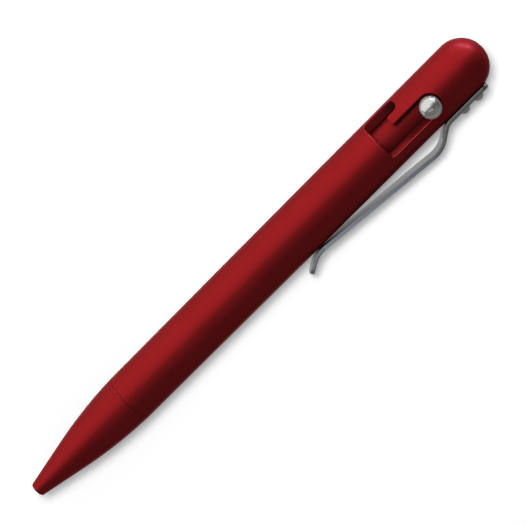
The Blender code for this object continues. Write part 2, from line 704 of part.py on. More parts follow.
def make_pocket_clip(material, parent):
    """The bent clip strip, with its origin at the foot of its first bend and a hole for each screw."""
    hinge = Vector((CLIP_FOOT_X, -PLATE_HEIGHT - CLIP_THICKNESS / 2, 0))
    stretches = clip_stretches()
    bm = bmesh.new()
    rings = []
    for distance, half_width in clip_stations(stretches):
        x, height, heading = clip_place(distance, stretches)
        inner = Vector((x, -height, 0)) - hinge
        outer = inner + Vector((math.sin(heading), -math.cos(heading), 0)) * CLIP_THICKNESS
        side = Vector((0, 0, half_width))
        rings.append([bm.verts.new(place) for place in (inner - side, inner + side, outer + side, outer - side)])
    for ring, following in zip(rings, rings[1:]):
        for index in range(len(ring)):
            bm.faces.new((ring[index - 1], ring[index], following[index], following[index - 1]))
    bm.faces.new(rings[0])
    bm.faces.new(rings[-1])
    bmesh.ops.recalc_face_normals(bm, faces=bm.faces)
    clip = add_piece("pocket_clip", bm, material, parent, hinge)
    for name, screw_x in (("front", FRONT_SCREW_X), ("rear", REAR_SCREW_X)):
        top = PLATE_HEIGHT + CLIP_THICKNESS + CUT_OVERRUN
        hole = cylinder(SEAT_HEIGHT, top, SCREW_HOLE_RADIUS, SCREW_SIDES)
        cut(clip, f"{name}_clip_hole_cutter", hole, (screw_x, 0, 0), (0, 0, -90))
    return clip


def make_clip_screw(name, screw_x, material, parent):
    """A button-head screw through the clip into the barrel's wall, with a six-sided drive."""
    tip = SCREW_HOLE_FLOOR + SCREW_TIP_GAP
    rim_top = SCREW_HEAD_SEAT + SCREW_HEAD_RIM
    top = SCREW_HEAD_SEAT + SCREW_HEAD_HEIGHT
    outline = [
        (tip, 0),
        (tip, SCREW_RADIUS - SCREW_TIP_CHAMFER),
        (tip + SCREW_TIP_CHAMFER, SCREW_RADIUS),
        (SCREW_HEAD_SEAT, SCREW_RADIUS),
        (SCREW_HEAD_SEAT, SCREW_HEAD_RADIUS),
        (rim_top, SCREW_HEAD_RADIUS),
    ]
    outline += domed_top(rim_top, SCREW_HEAD_RADIUS, SCREW_HEAD_HEIGHT - SCREW_HEAD_RIM, CORNER_STEPS)
    screw = add_piece(name, turned(outline, SCREW_SIDES), material, parent, (screw_x, 0, 0), (0, 0, -90))
    drive = cylinder(top - DRIVE_DEPTH, top + CUT_OVERRUN, DRIVE_RADIUS, DRIVE_SIDES)
    cut(screw, f"{name}_drive_cutter", drive, (screw_x, 0, 0), (0, 0, -90))
    return screw


def main():
    """Builds the pen and lays it on its side."""
    clear_scene()
    red_aluminium = colour_material("red anodised aluminium", (0.32, 0.012, 0.015), 0.38, 0.9)
    clip_steel = colour_material("bead blasted steel", (0.42, 0.43, 0.46), 0.4, 1.0)
    polished_steel = colour_material("polished steel", (0.62, 0.62, 0.63), 0.18, 1.0)
    refill_steel = colour_material("refill steel", (0.55, 0.55, 0.56), 0.3, 1.0)
    tip_brass = colour_material("nickel plated tip", (0.66, 0.64, 0.58), 0.25, 1.0)
    spring_steel = colour_material("spring steel", (0.5, 0.5, 0.5), 0.3, 1.0)
    black_plastic = colour_material("black plastic", (0.02, 0.02, 0.02), 0.5, 0.0)

    pen_axis = link_object("pen_axis", None, None, (-REST_X, 0, rest_height()), (rest_roll(), 0, 0))
    make_barrel(red_aluminium, pen_axis)
    make_nose_cone(red_aluminium, pen_axis)
    make_bolt(red_aluminium, pen_axis)
    make_bolt_knob(polished_steel, pen_axis)
    make_return_spring(spring_steel, pen_axis)
    make_pocket_clip(clip_steel, pen_axis)
    make_clip_screw("clip_screw_front", FRONT_SCREW_X, polished_steel, pen_axis)
    make_clip_screw("clip_screw_rear", REAR_SCREW_X, polished_steel, pen_axis)
    make_refill_tube(refill_steel, pen_axis)
    make_refill_tip(tip_brass, pen_axis)
    make_refill_ball(polished_steel, pen_axis)
    make_refill_end_cap(black_plastic, pen_axis)


main()
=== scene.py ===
"""Looks of the bolt action pen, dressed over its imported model.

Every piece is drawn in the pen's own frame: +X runs along the pen's axis from the mouth of the nose (x = 0)
to the domed tail, -Y points at the pocket clip and +Z at the bolt's knob. PEN lays that frame on its side,
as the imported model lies. The floor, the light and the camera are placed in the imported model's frame. All
lengths are in metres and all named angles in degrees.
"""

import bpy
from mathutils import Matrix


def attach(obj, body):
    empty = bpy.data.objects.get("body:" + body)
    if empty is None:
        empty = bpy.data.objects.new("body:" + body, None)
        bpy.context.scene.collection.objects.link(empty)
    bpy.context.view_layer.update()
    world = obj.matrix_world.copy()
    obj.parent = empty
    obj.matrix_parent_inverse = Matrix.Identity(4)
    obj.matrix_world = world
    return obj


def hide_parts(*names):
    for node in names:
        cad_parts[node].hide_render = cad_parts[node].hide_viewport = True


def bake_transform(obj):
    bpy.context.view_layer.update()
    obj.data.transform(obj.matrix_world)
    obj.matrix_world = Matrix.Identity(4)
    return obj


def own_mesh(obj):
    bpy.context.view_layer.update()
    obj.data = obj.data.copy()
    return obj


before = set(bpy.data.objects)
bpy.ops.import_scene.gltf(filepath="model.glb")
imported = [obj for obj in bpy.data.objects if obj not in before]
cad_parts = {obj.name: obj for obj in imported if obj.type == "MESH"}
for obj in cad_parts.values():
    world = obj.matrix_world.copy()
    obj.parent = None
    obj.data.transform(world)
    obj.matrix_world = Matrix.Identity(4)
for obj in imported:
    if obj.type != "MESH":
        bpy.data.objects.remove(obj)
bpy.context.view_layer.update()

import math

import bmesh
import bpy
from mathutils import Matrix, Vector

# Overall
PEN_LENGTH = 0.1400
NOSE_LENGTH = 0.0301

# Nose cone
TIP_WALL = 0.0005
TIP_ROUND = 0.00045
CONE_LENGTH = 0.0113
CONE_ANGLE = 11.03
SPRING_SEAT_DEPTH = 0.0036
SPIGOT_LENGTH = 0.0070
JOINT_GAP = 0.0001
JOINT_EDGE = 0.00004
EDGE_BREAK = 0.00012

# Thread between the nose cone and the barrel
THREAD_PITCH = 0.00075
THREAD_DEPTH = 0.0003
THREAD_RUNOUT = 0.0007
THREAD_FLANK = 1.35
THREAD_STEPS = 8

# Barrel
BARREL_RADIUS = 0.00621
BARREL_TAPER = 0.0002
STRAIGHT_LENGTH = 0.0388
DOME_LENGTH = 0.0062
BORE_RADIUS = 0.0040
BORE_ROUND = 0.0008
TAIL_WALL = 0.0077
SOCKET_STEP = 0.00075
SOCKET_RELIEF = 0.0008

# Slot for the knob's stud, with its widths measured round the barrel's surface
SLOT_SETBACK = 0.01412
LONG_LEG_LENGTH = 0.01618
LONG_LEG_WIDTH = 0.0055
TONGUE_SETBACK = 0.0051
TONGUE_WIDTH = 0.0023
SHORT_LEG_LENGTH = 0.00847
SHORT_LEG_WIDTH = 0.0038
FRONT_CORNER = 0.0009
TONGUE_CORNER = 0.0004
SHORT_CORNER = 0.0013
SLOT_CHAMFER = 0.00015

# Shape of the slot's rounded edge, in shares of its chamfer, and how deep its walls start
SLOT_EDGE_DEPTH = 0.4
SLOT_EDGE_GROWTH = 0.3
SLOT_EDGE_TOP = 1.2
WALL_START = 1.3

# Bolt
BOLT_LENGTH = 0.0336
BOLT_CHAMFER = 0.0004
REFILL_POCKET_DEPTH = 0.0030

# Knob
STUD_RADIUS = 0.00115
STUD_REACH = 0.0012
STUD_CHAMFER = 0.0002
KNOB_LIFT = 0.00015
COLLAR_RADIUS = 0.00237
COLLAR_HEIGHT = 0.0019
GROOVE_WIDTH = 0.0003
GROOVE_DEPTH = 0.00025
HEAD_RADIUS = 0.00235
HEAD_HEIGHT = 0.00094
HEAD_EDGE = 0.0001
HEAD_DOME = 0.00106
PIP_RADIUS = 0.00022
PIP_DEPTH = 0.00006
PIP_RING = (0.7, 0.5)
PIP_POINT = 0.25

# Refill
REFILL_RECESS = 0.0032
REFILL_RADIUS = 0.0029
TUBE_WALL = 0.0004
SHOULDER_LENGTH = 0.0030
THROAT_LENGTH = 0.0020
SNOUT_RADIUS = 0.001175
SNOUT_LENGTH = 0.0155
SNOUT_INSERT = 0.0028
POINT_LENGTH = 0.0024
BALL_RADIUS = 0.0005
BALL_SHOW = 0.00025
BALL_GAP = 0.00003
LIP_WALL = 0.0001
INK_CHANNEL_RADIUS = 0.0003
CRIMP_SHARES = (1, 0.9, 0.7, 0.6)
CROWN_LENGTH = 0.0022
CROWN_STEP = 0.0002
PLUG_LENGTH = 0.0030
VENT_RADIUS = 0.0005
NOTCH_DEPTH = 0.0012
NOTCH_WIDTH = 0.0009
NOTCH_PAIRS = 3

# Return spring
WIRE_RADIUS = 0.00015
SPRING_GAP = 0.0002
SPRING_TURNS = 8
CLOSED_TURNS = 1.25

# Pocket clip
CLIP_SETBACK = 0.00485
CLIP_WIDTH = 0.0050
CLIP_THICKNESS = 0.0009
CLIP_CORNER = 0.0015
CLIP_CORNER_END = 1.02
CLIP_EDGE = 0.00007
PLATE_LENGTH = 0.0110
CLIP_SEAT_CUT = 0.00026
CLIP_SEAT_LEAD = 0.0009
CLIP_RISE = 0.00313
RISE_ANGLE = 35.0
FOOT_BEND = 0.0042
TOP_BEND = 0.0062
TOUCH_BEND = 0.0066
TOUCH_GAP = 0.00006
CLIP_REACH = 0.05075
FLARE_ANGLE = 31.5
FLARE_LENGTH = 0.0028

# Clip screws
SCREW_SETBACK = 0.00315
SCREW_SPACING = 0.0040
SCREW_RADIUS = 0.0008
SCREW_TIP_CHAMFER = 0.0002
SCREW_HEAD_RADIUS = 0.00148
SCREW_HEAD_RIM = 0.0002
SCREW_HEAD_HEIGHT = 0.00125
SCREW_FLOOR = 0.0006
SCREW_TIP_GAP = 0.00015
DRIVE_RADIUS = 0.0006
DRIVE_LOBES = 6
DRIVE_LOBE_DEPTH = 0.000144
DRIVE_DEPTH = 0.0006

# Clearances, tolerances and how far the knob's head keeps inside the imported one
BOLT_GAP = 0.00032
FIT_GAP = 0.0001
SEAT_GAP = 0.0001
HEAD_GAP = 0.00005
STOP_GAP = 0.0003
MOUTH_GAP = 0.000125
CUT_OVERRUN = 0.0001
MERGE_DISTANCE = 0.000001
SKIN_TOLERANCE = 0.000004
SKIN_DEPTH = 0.000016

# Facets
BARREL_SIDES = 128
BOLT_SIDES = 96
KNOB_SIDES = 96
REFILL_SIDES = 64
SNOUT_SIDES = 48
SCREW_SIDES = 64
DOME_STEPS = 32
OGIVE_STEPS = 40
BEND_STEPS = 24
ROUND_STEPS = 5
SLOT_STEPS = 12
BALL_STEPS = 16
WIRE_SIDES = 10
WIRE_POINTS_PER_TURN = 28
SLOT_ANGLE_STEP = 1.5
BEVEL_ANGLE = 40.0
BEVEL_STEPS = 2
SMOOTH_ANGLE = 32.0
MOST_EDGE_CORNERS = 5

# Steps of the writing point, in shares of its length and of the snout's radius, with their rounding
POINT_STEPS = ((0.55, 0.78, EDGE_BREAK), (0.75, 0.82, 0), (1, 1, EDGE_BREAK * 2))

# Places along the pen that follow from the sizes
DOME_X = PEN_LENGTH - DOME_LENGTH
STRAIGHT_X = DOME_X - STRAIGHT_LENGTH
BARREL_FRONT_X = NOSE_LENGTH + JOINT_GAP
SPIGOT_END_X = NOSE_LENGTH + SPIGOT_LENGTH
SOCKET_END_X = SPIGOT_END_X + SOCKET_RELIEF
BORE_END_X = PEN_LENGTH - TAIL_WALL
REST_X = (STRAIGHT_X + DOME_X) / 2
LONG_END_X = PEN_LENGTH - SLOT_SETBACK
SLOT_FRONT_X = LONG_END_X - LONG_LEG_LENGTH
TONGUE_X = SLOT_FRONT_X + TONGUE_SETBACK
SHORT_END_X = SLOT_FRONT_X + SHORT_LEG_LENGTH
KNOB_X = LONG_END_X - LONG_LEG_WIDTH / 2
BOLT_TRAVEL = KNOB_X - STUD_RADIUS - SLOT_FRONT_X - STOP_GAP
BOLT_END_X = BORE_END_X - STOP_GAP
BOLT_FRONT_X = BOLT_END_X - BOLT_LENGTH
POCKET_FLOOR_X = BOLT_FRONT_X + REFILL_POCKET_DEPTH
REFILL_END_X = POCKET_FLOOR_X - SEAT_GAP
CROWN_X = REFILL_END_X - CROWN_LENGTH
TUBE_END_X = CROWN_X - SEAT_GAP
SHOULDER_X = REFILL_RECESS + SNOUT_LENGTH
FULL_TUBE_X = SHOULDER_X + SHOULDER_LENGTH
CLIP_END_X = PEN_LENGTH - CLIP_SETBACK
CLIP_FOOT_X = CLIP_END_X - PLATE_LENGTH
CLIP_TOUCH_X = CLIP_END_X - CLIP_REACH
REAR_SCREW_X = CLIP_END_X - SCREW_SETBACK
FRONT_SCREW_X = REAR_SCREW_X - SCREW_SPACING

# Distances from the pen's axis that follow from the sizes
BARREL_FRONT_RADIUS = BARREL_RADIUS - BARREL_TAPER
SOCKET_RADIUS = BORE_RADIUS + SOCKET_STEP
SPIGOT_RADIUS = SOCKET_RADIUS - FIT_GAP
BOLT_RADIUS = BORE_RADIUS - BOLT_GAP
REFILL_BORE_RADIUS = REFILL_RADIUS + FIT_GAP
MOUTH_RADIUS = SNOUT_RADIUS + MOUTH_GAP
TIP_RADIUS = MOUTH_RADIUS + TIP_WALL
SPRING_RADIUS = SNOUT_RADIUS + SPRING_GAP + WIRE_RADIUS
SHOULDER_RADIUS = SPRING_RADIUS + WIRE_RADIUS
SPRING_BORE_RADIUS = SHOULDER_RADIUS + SPRING_GAP
TUBE_BORE_RADIUS = REFILL_RADIUS - TUBE_WALL
SEAT_HEIGHT = BARREL_RADIUS - CLIP_SEAT_CUT
PLATE_HEIGHT = SEAT_HEIGHT + SEAT_GAP
CLIP_TOP_HEIGHT = PLATE_HEIGHT + CLIP_RISE + CLIP_THICKNESS
SCREW_HOLE_FLOOR = BORE_RADIUS + SCREW_FLOOR
SCREW_HEAD_SEAT = PLATE_HEIGHT + CLIP_THICKNESS + HEAD_GAP
SCREW_HOLE_RADIUS = SCREW_RADIUS + FIT_GAP

# How the pen lies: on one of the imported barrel's 64 facets and on a corner of the clip
PACKED_SIDES = 64
AXIS_HEIGHT = BARREL_RADIUS * math.cos(math.pi / PACKED_SIDES)
SKIN_RADIUS = AXIS_HEIGHT
CORNER_REACH = math.hypot(CLIP_TOP_HEIGHT, CLIP_WIDTH / 2)
ROLL = math.asin(AXIS_HEIGHT / CORNER_REACH) - math.atan2(CLIP_WIDTH / 2, CLIP_TOP_HEIGHT)
PEN = Matrix.Translation((-REST_X, 0, AXIS_HEIGHT)) @ Matrix.Rotation(ROLL, 4, "X")
KNOB_FRAME = Matrix.Translation((KNOB_X, 0, 0)) @ Matrix.Rotation(math.radians(-90), 4, "Y")

# Painted shade on the carved walls: even on most, and rising to the rear end of the slot's short leg
WALL_PAINTED_SHADE = 0.25
SHORT_LEG_PAINTED_SHADE = 0.7
SHORT_LEG_PAINTED_SHADE_LENGTH = 0.005
SHORT_LEG_SIDE = 0.002

# Red anodised aluminium
GRAIN_SIZE = 0.00013
TONE_SIZE = 0.009
LATHE_SIZE = 0.00016
WEAR_SIZE = 0.0011
DYE_DEEP = (0.345, 0.0055, 0.0085, 1)
DYE_LIGHT = (0.375, 0.0065, 0.0100, 1)
DYE_SPECK = (0.28, 0.004, 0.006, 1)
# Painted shade that the carved walls are darkened towards
PAINTED_SHADE_IN_CUTS = (0.08, 0.001, 0.0015, 1)
# Paler edges: wear, and paler still as a painted glint on the chamfers
EDGE_WEAR_AND_PAINTED_GLINT = (0.55, 0.07, 0.07, 1)
DYE_TINT = (0.72, 0.5, 0.5, 1)
SKIN_DULLNESS = 0.46
BOLT_DULLNESS = 0.58

# Turned steel
TOOL_MARK = 0.00009
SCRATCH_SIZE = 0.00012
STAIN_SIZE = 0.0009
STEEL_DARK = (0.60, 0.59, 0.56, 1)
STEEL_LIGHT = (0.68, 0.67, 0.64, 1)

# The photograph's view: its lean towards the tail, its turn round the pen and the point that it looks at
VIEW_LEAN = 7.9
VIEW_TURN = 101.0
VIEW_DISTANCE = 0.419
VIEW_X = 0.07296
VIEW_OFFSET = 0.00039
FOCAL_PIXELS = 1900.0
IMAGE_PIXELS = 525
SENSOR_WIDTH = 36
NEAR_CLIP = 0.01

# The floor, the world and the lamp overhead
WHITE = (1, 1, 1, 1)
FLOOR_GREY = (0.8, 0.8, 0.8, 1)
FLOOR_REACH = 6
FLOOR_GLOW_PLACES = (0.25, 1.2)
FLOOR_GLOW_LEVELS = (0.275, 1.0)
WORLD_ON_MATT = 0.25
LAMP_PLACE = (0.03, 0.03, 0.6)
LAMP_TARGET = (-0.02, 0, 0)
LAMP_SIZE = 0.235
LAMP_POWER = 2.8

# Screen round the pen: places along it, and rows of an angle from straight up to the clip with its levels
SCREEN_RADIUS = 0.55
SCREEN_LIFT = 0.001
SCREEN_X = (-3.0, -1.8, -0.9, -0.3, -0.08, -0.02, 0.1, 0.3, 0.6, 1.2, 3.0)
SCREEN_FIRST_LEVELS = (0.1, 0.1)
SCREEN_TONES = (
    (-88, *[0.85] * 9),
    (-62, *[1.0] * 9),
    (-35, *[1.08] * 6, 1.0, 1.0, 1.0),
    (-20, *[1.08] * 6, 0.9, 0.9, 0.8),
    (-8, *[1.08] * 5, 1.0, 0.7, 0.7, 0.7),
    (4, 0.9, 0.9, 0.95, 0.95, 0.85, 0.5, 0.3, 0.5, 0.5),
    (13, 0.18, 0.14, 0.26, 0.38, 0.2, 0.04, 0.04, 0.12, 0.16),
    (20, 0.12, 0.11, 0.11, 0.09, 0.05, 0.03, 0.03, 0.1, 0.14),
    (42, 0.12, 0.11, 0.11, 0.09, 0.07, 0.05, 0.04, 0.08, 0.14),
    (60, 0.12, 0.13, 0.15, 0.15, 0.16, 0.17, 0.12, 0.06, 0.1),
    (89, 0.1, 0.11, 0.12, 0.12, 0.14, 0.14, 0.1, 0.05, 0.06),
)

# Cool card over the clip's arm, laid out like the screen
ARM_CARD_RADIUS = 0.5
ARM_CARD_X = (-0.4, -0.33, -0.1, -0.05, -0.03, -0.012)
ARM_CARD_LEVELS = (0.13, 0.6, 0.66, 0.55, 0.42, 0.1)
ARM_CARD_TONES = ((26, *[0.13] * 6), (31, *ARM_CARD_LEVELS), (38, *ARM_CARD_LEVELS), (43, *[0.13] * 6))
ARM_CARD_COLOUR = (0.8, 0.88, 1.12, 1)

# Shades low on the floor: places along the pen, and rows of y and z with the levels there
SHADE_X = (-3.0, 0.02, 0.04, 0.07, 3.0)
SHADE_TONES = (
    (-0.55, 0.012, 0.18, 0.18, 0.08, 0.08, 0.08),
    (-0.09, 0.006, 0.24, 0.24, 0.2, 0.08, 0.08),
    (-0.035, 0.003, 0.24, 0.24, 0.2, 0.08, 0.08),
    (-0.02, 0.0015, 0.13, 0.13, 0.1, 0.08, 0.08),
    (-0.0105, 0.0006, 0.13, 0.13, 0.12, 0.12, 0.12),
    (-0.0088, 0.0005, 0.42, 0.42, 0.16, 0.16, 0.16),
    (-0.0055, 0.0004, 0.42, 0.42, 0.16, 0.16, 0.16),
    (-0.004, 0.0003, 0.2, 0.2, 0.2, 0.2, 0.2),
    (0.0035, 0.0003, 0.2, 0.2, 0.4, 0.4, 0.4),
    (0.008, 0.0003, 0.66, 0.66, 0.5, 0.5, 0.5),
    (0.03, 0.001, 0.66, 0.66, 0.5, 0.5, 0.5),
    (0.55, 0.012, 0.66, 0.66, 0.6, 0.6, 0.6),
)

# Cards that stand bent round a place on the pen: levels by bearing, and shares of them by height
TAIL_GLOW_X = DOME_X - REST_X
TAIL_GLOW_RADIUS = 0.25
TAIL_GLOW_BEARINGS = ((10, 0.0), (16, 23.0), (27, 25.0), (45, 23.0), (57, 17.0), (64, 0.0))
TAIL_GLOW_HEIGHTS = ((0.001, 0.7), (0.012, 0.9), (0.035, 1.0), (0.06, 0.7), (0.085, 0.2), (0.11, 0.0))
TAIL_GLOW_COLOUR = (0.38, 0.84, 1, 1)
KNOB_CARD_X = 0.0105
KNOB_CARD_RADIUS = 0.05
KNOB_CARD_BEARINGS = ((-50, 0.06), (-35, 0.04), (2, 0.05), (10, 0.3), (18, 1.3), (64, 1.3), (80, 0.8))
KNOB_CARD_HEIGHTS = ((0.0146, 1), (0.03, 1))

# Strip light beyond the tail. Directions go along the pen, across it to its clip and towards the camera.
STRIP_DISTANCE = 0.5
STRIP_NEAR = (0.241, -0.967, 0.092)
STRIP_FAR = (0.812, -0.138, 0.566)
STRIP_SIDE = (-0.535, -0.0617, 0.752)
STRIP_HALF_WIDTH = 0.022
STRIP_LEVELS = (0.5, 2.5, 2.5)


class Value:
    """A node's output. Sums written with it add the Math nodes that work them out."""

    def __init__(self, finish, socket):
        self.finish = finish
        self.socket = socket

    def math(self, operation, *others):
        """The output of one Math node on this value and others."""
        return self.finish.node("Math", {"operation": operation}, dict(enumerate((self, *others))))

    def __add__(self, other):
        return self.math("ADD", other)

    __radd__ = __add__

    def __mul__(self, other):
        return self.math("MULTIPLY", other)

    def __sub__(self, other):
        return self.math("SUBTRACT", other)


class Finish:
    """The shader tree of a material or of the world, with a method that adds any node to it."""

    def __init__(self, owner):
        owner.use_nodes = True
        self.owner = owner
        self.tree = owner.node_tree
        self.tree.nodes.clear()

    def node(self, kind, settings=None, inputs=None, output=0):
        """Adds a node, sets it up, fills or links its inputs and gives one of its outputs."""
        added = self.tree.nodes.new(f"ShaderNode{kind}")
        for key, setting in (settings or {}).items():
            setattr(added, key, setting)
        for key, given in (inputs or {}).items():
            if isinstance(given, Value):
                self.tree.links.new(given.socket, added.inputs[key])
            else:
                added.inputs[key].default_value = given
        return Value(self, added.outputs[output])

    def mark(self, name):
        """An attribute of the mesh."""
        return self.node("Attribute", {"attribute_name": name}, output="Fac")

    def mix(self, share, first, second):
        """A colour between two colours."""
        return self.node("Mix", {"data_type": "RGBA"}, {0: share, 6: first, 7: second}, 2)

    def noise(self, size, detail, drawn=(1, 1, 1)):
        """Noise from 0 to 1 with blotches about one size across, and longer on an axis drawn below 1."""
        here = self.node("TexCoord", output="Object")
        place = self.node("VectorMath", {"operation": "MULTIPLY"}, {0: here, 1: drawn})
        return self.node("TexNoise", {}, {"Vector": place, "Scale": 1 / size, "Detail": detail})

    def spread(self, value, low, high, start=0.0, end=1.0):
        """A value from low to high spread over start to end, held at both ends."""
        inputs = {"Value": value, "From Min": low, "From Max": high, "To Min": start, "To Max": end}
        return self.node("MapRange", {"clamp": True}, inputs)

    def bump(self, height, strength, distance):
        """The tilt of the surface that a relief gives it."""
        return self.node("Bump", {}, {"Strength": strength, "Distance": distance, "Height": height})

    def seen(self):
        """1 for a ray from the camera or off metal, otherwise 0."""
        mirrored = self.node("LightPath", output="Is Glossy Ray")
        return self.node("LightPath", output="Is Camera Ray").math("MAXIMUM", mirrored)

    def before_matt(self):
        """1 for a ray that has met no matt surface yet, otherwise 0."""
        return self.node("LightPath", output="Diffuse Depth").math("LESS_THAN", 0.5)

    def end(self, shader, kind="Material"):
        """Links a shader to the tree's output."""
        output = self.tree.nodes.new(f"ShaderNodeOutput{kind}")
        self.tree.links.new(shader.socket, output.inputs["Surface"])

    def surface(self, **inputs):
        """Ends the tree with the Principled shader. An underscore in a socket's name stands for a space."""
        named = {key.replace("_", " "): given for key, given in inputs.items()}
        self.end(self.node("BsdfPrincipled", {}, named, "BSDF"))
        return self.owner


def red_anodised(name, dullness):
    """Satin red dye in blasted aluminium: fine grain, faint lathe lines, edges paler by wear and a painted
    glint, painted shade on cut walls.
    """
    f = Finish(bpy.data.materials.new(name))
    grain = f.noise(GRAIN_SIZE, 3)
    tone = f.noise(TONE_SIZE, 2)
    lathe = f.noise(LATHE_SIZE, 2, (1, 0.02, 0.02))
    # The edges: paler from wear, and paler still as a painted glint on the chamfers
    worn = f.mark("edge") * f.spread(f.noise(WEAR_SIZE, 3), 0.35, 0.75, 0.45, 1.0)
    dye = f.mix(f.spread(tone, 0.3, 0.7), DYE_DEEP, DYE_LIGHT)
    speckled = f.mix(f.spread(grain, 0.35, 0.7, 0.0, 0.3), dye, DYE_SPECK)
    # Painted shade: the carved walls are mixed darker by the share that true_normals gives them
    cut = f.mix(f.mark("inside"), speckled, PAINTED_SHADE_IN_CUTS)
    return f.surface(
        Base_Color=f.mix(worn * 0.55, cut, EDGE_WEAR_AND_PAINTED_GLINT),
        Roughness=dullness + grain * 0.06 + tone * 0.03 - worn * 0.08,
        Metallic=1.0,
        Normal=f.bump(grain * 0.7 + lathe * 0.5, 0.16, 0.00002),
        Specular_Tint=DYE_TINT,
        Coat_Weight=0.11,
        Coat_Roughness=0.24,
        Sheen_Weight=0.009,
        Sheen_Roughness=1.0,
    )


def turned_steel():
    """Stainless steel fresh off the lathe, with rings of tool marks round the piece's own axis."""
    f = Finish(bpy.data.materials.new("turned steel"))
    rings = (f.mark("reach") * (math.tau / TOOL_MARK)).math("SINE") * 0.5 + 0.5
    cloud = f.noise(STAIN_SIZE, 2)
    scratch = f.noise(SCRATCH_SIZE, 3)
    return f.surface(
        Base_Color=f.mix(f.spread(scratch, 0.3, 0.7), STEEL_DARK, STEEL_LIGHT),
        Roughness=0.12 + cloud * 0.07 + scratch * 0.04,
        Metallic=0.88,
        Normal=f.bump(rings * 0.4 + scratch * 0.3, 0.1, 0.000012),
    )


def plain_finish(name, fine, tints, rough, relief, broad=None, span=(0.3, 0.7), worn=None, metallic=1.0):
    """A finish out of a fine and a broad noise, each given as the method noise takes it.

    tints: which noise mixes them, and two colours. span: the part of that noise that they are spread over.
    rough: a level, then what each noise adds. relief: the strength and the height of the fine noise's bump.
    worn: how far the edges go to another colour.
    """
    f = Finish(bpy.data.materials.new(name))
    noises = {"fine": f.noise(*fine)}
    if broad:
        noises["broad"] = f.noise(*broad)
    mixer, first, second = tints
    colour = f.mix(f.spread(noises[mixer], *span), first, second)
    if worn:
        share, tint = worn
        colour = f.mix(f.mark("edge") * share, colour, tint)
    level, *shares = rough
    for noise, share in zip(noises.values(), shares):
        if share:
            level += noise * share
    bump = f.bump(noises["fine"], *relief)
    return f.surface(Base_Color=colour, Roughness=level, Metallic=metallic, Normal=bump)


def satin_steel():
    """Rolled stainless strip with fine lines along its length."""
    return plain_finish(
        "satin steel",
        fine=(0.00009, 3, (0.03, 1, 1)),
        broad=(0.004, 2),
        tints=("fine", (0.55, 0.54, 0.52, 1), (0.64, 0.63, 0.61, 1)),
        rough=(0.17, 0.1, 0.06),
        relief=(0.06, 0.00001),
        worn=(0.6, (0.74, 0.74, 0.73, 1)),
    )


def drawn_steel():
    """The refill's drawn tube, with lines along its length."""
    return plain_finish(
        "drawn steel",
        fine=(0.00015, 2, (0.02, 1, 1)),
        broad=(0.006, 2),
        tints=("fine", (0.52, 0.52, 0.52, 1), (0.60, 0.60, 0.60, 1)),
        rough=(0.22, 0, 0.14),
        relief=(0.2, 0.00001),
    )


def nickel_plate():
    """Nickel plate over the brass writing tip, with turned rings along it."""
    return plain_finish(
        "nickel plate",
        fine=(0.00012, 2, (1, 0.03, 0.03)),
        broad=(0.002, 2),
        tints=("broad", (0.62, 0.59, 0.51, 1), (0.70, 0.68, 0.61, 1)),
        rough=(0.16, 0.12),
        relief=(0.3, 0.00001),
    )


def spring_wire():
    """Bright hard-drawn spring wire with a faint straw tint."""
    return plain_finish(
        "spring wire",
        fine=(0.0012, 3),
        tints=("fine", (0.50, 0.49, 0.46, 1), (0.60, 0.58, 0.54, 1)),
        span=(0.35, 0.65),
        rough=(0.24, 0.1),
        relief=(0.2, 0.00001),
    )


def ground_carbide():
    """The ground ball of the writing tip, finely pitted and stained by ink."""
    return plain_finish(
        "ground carbide",
        fine=(0.00005, 3),
        broad=(0.0004, 2),
        tints=("broad", (0.42, 0.42, 0.44, 1), (0.10, 0.11, 0.16, 1)),
        span=(0.45, 0.6),
        rough=(0.14, 0.1),
        relief=(0.2, 0.000005),
    )


def black_nylon():
    """The moulded plug at the refill's end."""
    return plain_finish(
        "black nylon",
        fine=(0.0001, 3),
        broad=(0.003, 2),
        tints=("broad", (0.012, 0.012, 0.013, 1), (0.022, 0.022, 0.023, 1)),
        rough=(0.42, 0.12),
        relief=(0.3, 0.00001),
        metallic=0.0,
    )


def softened(corners, closed=False):
    """An outline whose corners (x, radius, rounding) are rounded off."""
    points = []
    for index, (x, radius, rounding) in enumerate(corners):
        here = Vector((x, radius))
        at_end = not closed and index in (0, len(corners) - 1)
        if at_end or not rounding:
            points.append(here)
            continue
        before = Vector(corners[index - 1][:2])
        after = Vector(corners[(index + 1) % len(corners)][:2])
        way_in = (here - before).normalized()
        way_out = (after - here).normalized()
        reach = rounding * math.tan(way_in.angle(way_out) / 2)
        start = here - way_in * reach
        end = here + way_out * reach
        for step in range(ROUND_STEPS + 1):
            share = step / ROUND_STEPS
            points.append(start.lerp(here, share).lerp(here.lerp(end, share), share))
    return points


def arc(centre_x, reach_x, reach, start, end, steps):
    """Points (x, radius) from one angle to another round a place on the axis. Angle 0 is on the axis."""
    angles = [start + (end - start) * step / steps for step in range(steps + 1)]
    return [(centre_x + reach_x * math.cos(angle), reach * math.sin(angle)) for angle in angles]


def dome_points(base_x, radius, height, steps):
    """Points of a shallow spherical dome, from its foot to just before the axis."""
    sphere = (radius**2 + height**2) / (2 * height)
    return arc(base_x + height - sphere, sphere, sphere, math.asin(radius / sphere), 0, steps)[:-1]


def tangent_arc(start, angle, end, steps):
    """Points after start on the arc that leaves it at an angle above the axis and reaches end."""
    chord = Vector(end) - Vector(start)
    swing = math.atan2(chord.y, chord.x) - math.radians(angle)
    radius = chord.length / (2 * math.sin(swing))
    points = []
    for step in range(1, steps + 1):
        turn = swing * step / steps
        heading = math.radians(angle) + turn
        reach = 2 * radius * math.sin(turn)
        points.append((start[0] + reach * math.cos(heading), start[1] + reach * math.sin(heading)))
    return points


def round_place(x, radius, angle):
    """The place at a distance from the axis and an angle from +Y towards +Z."""
    return x, radius * math.cos(angle), radius * math.sin(angle)


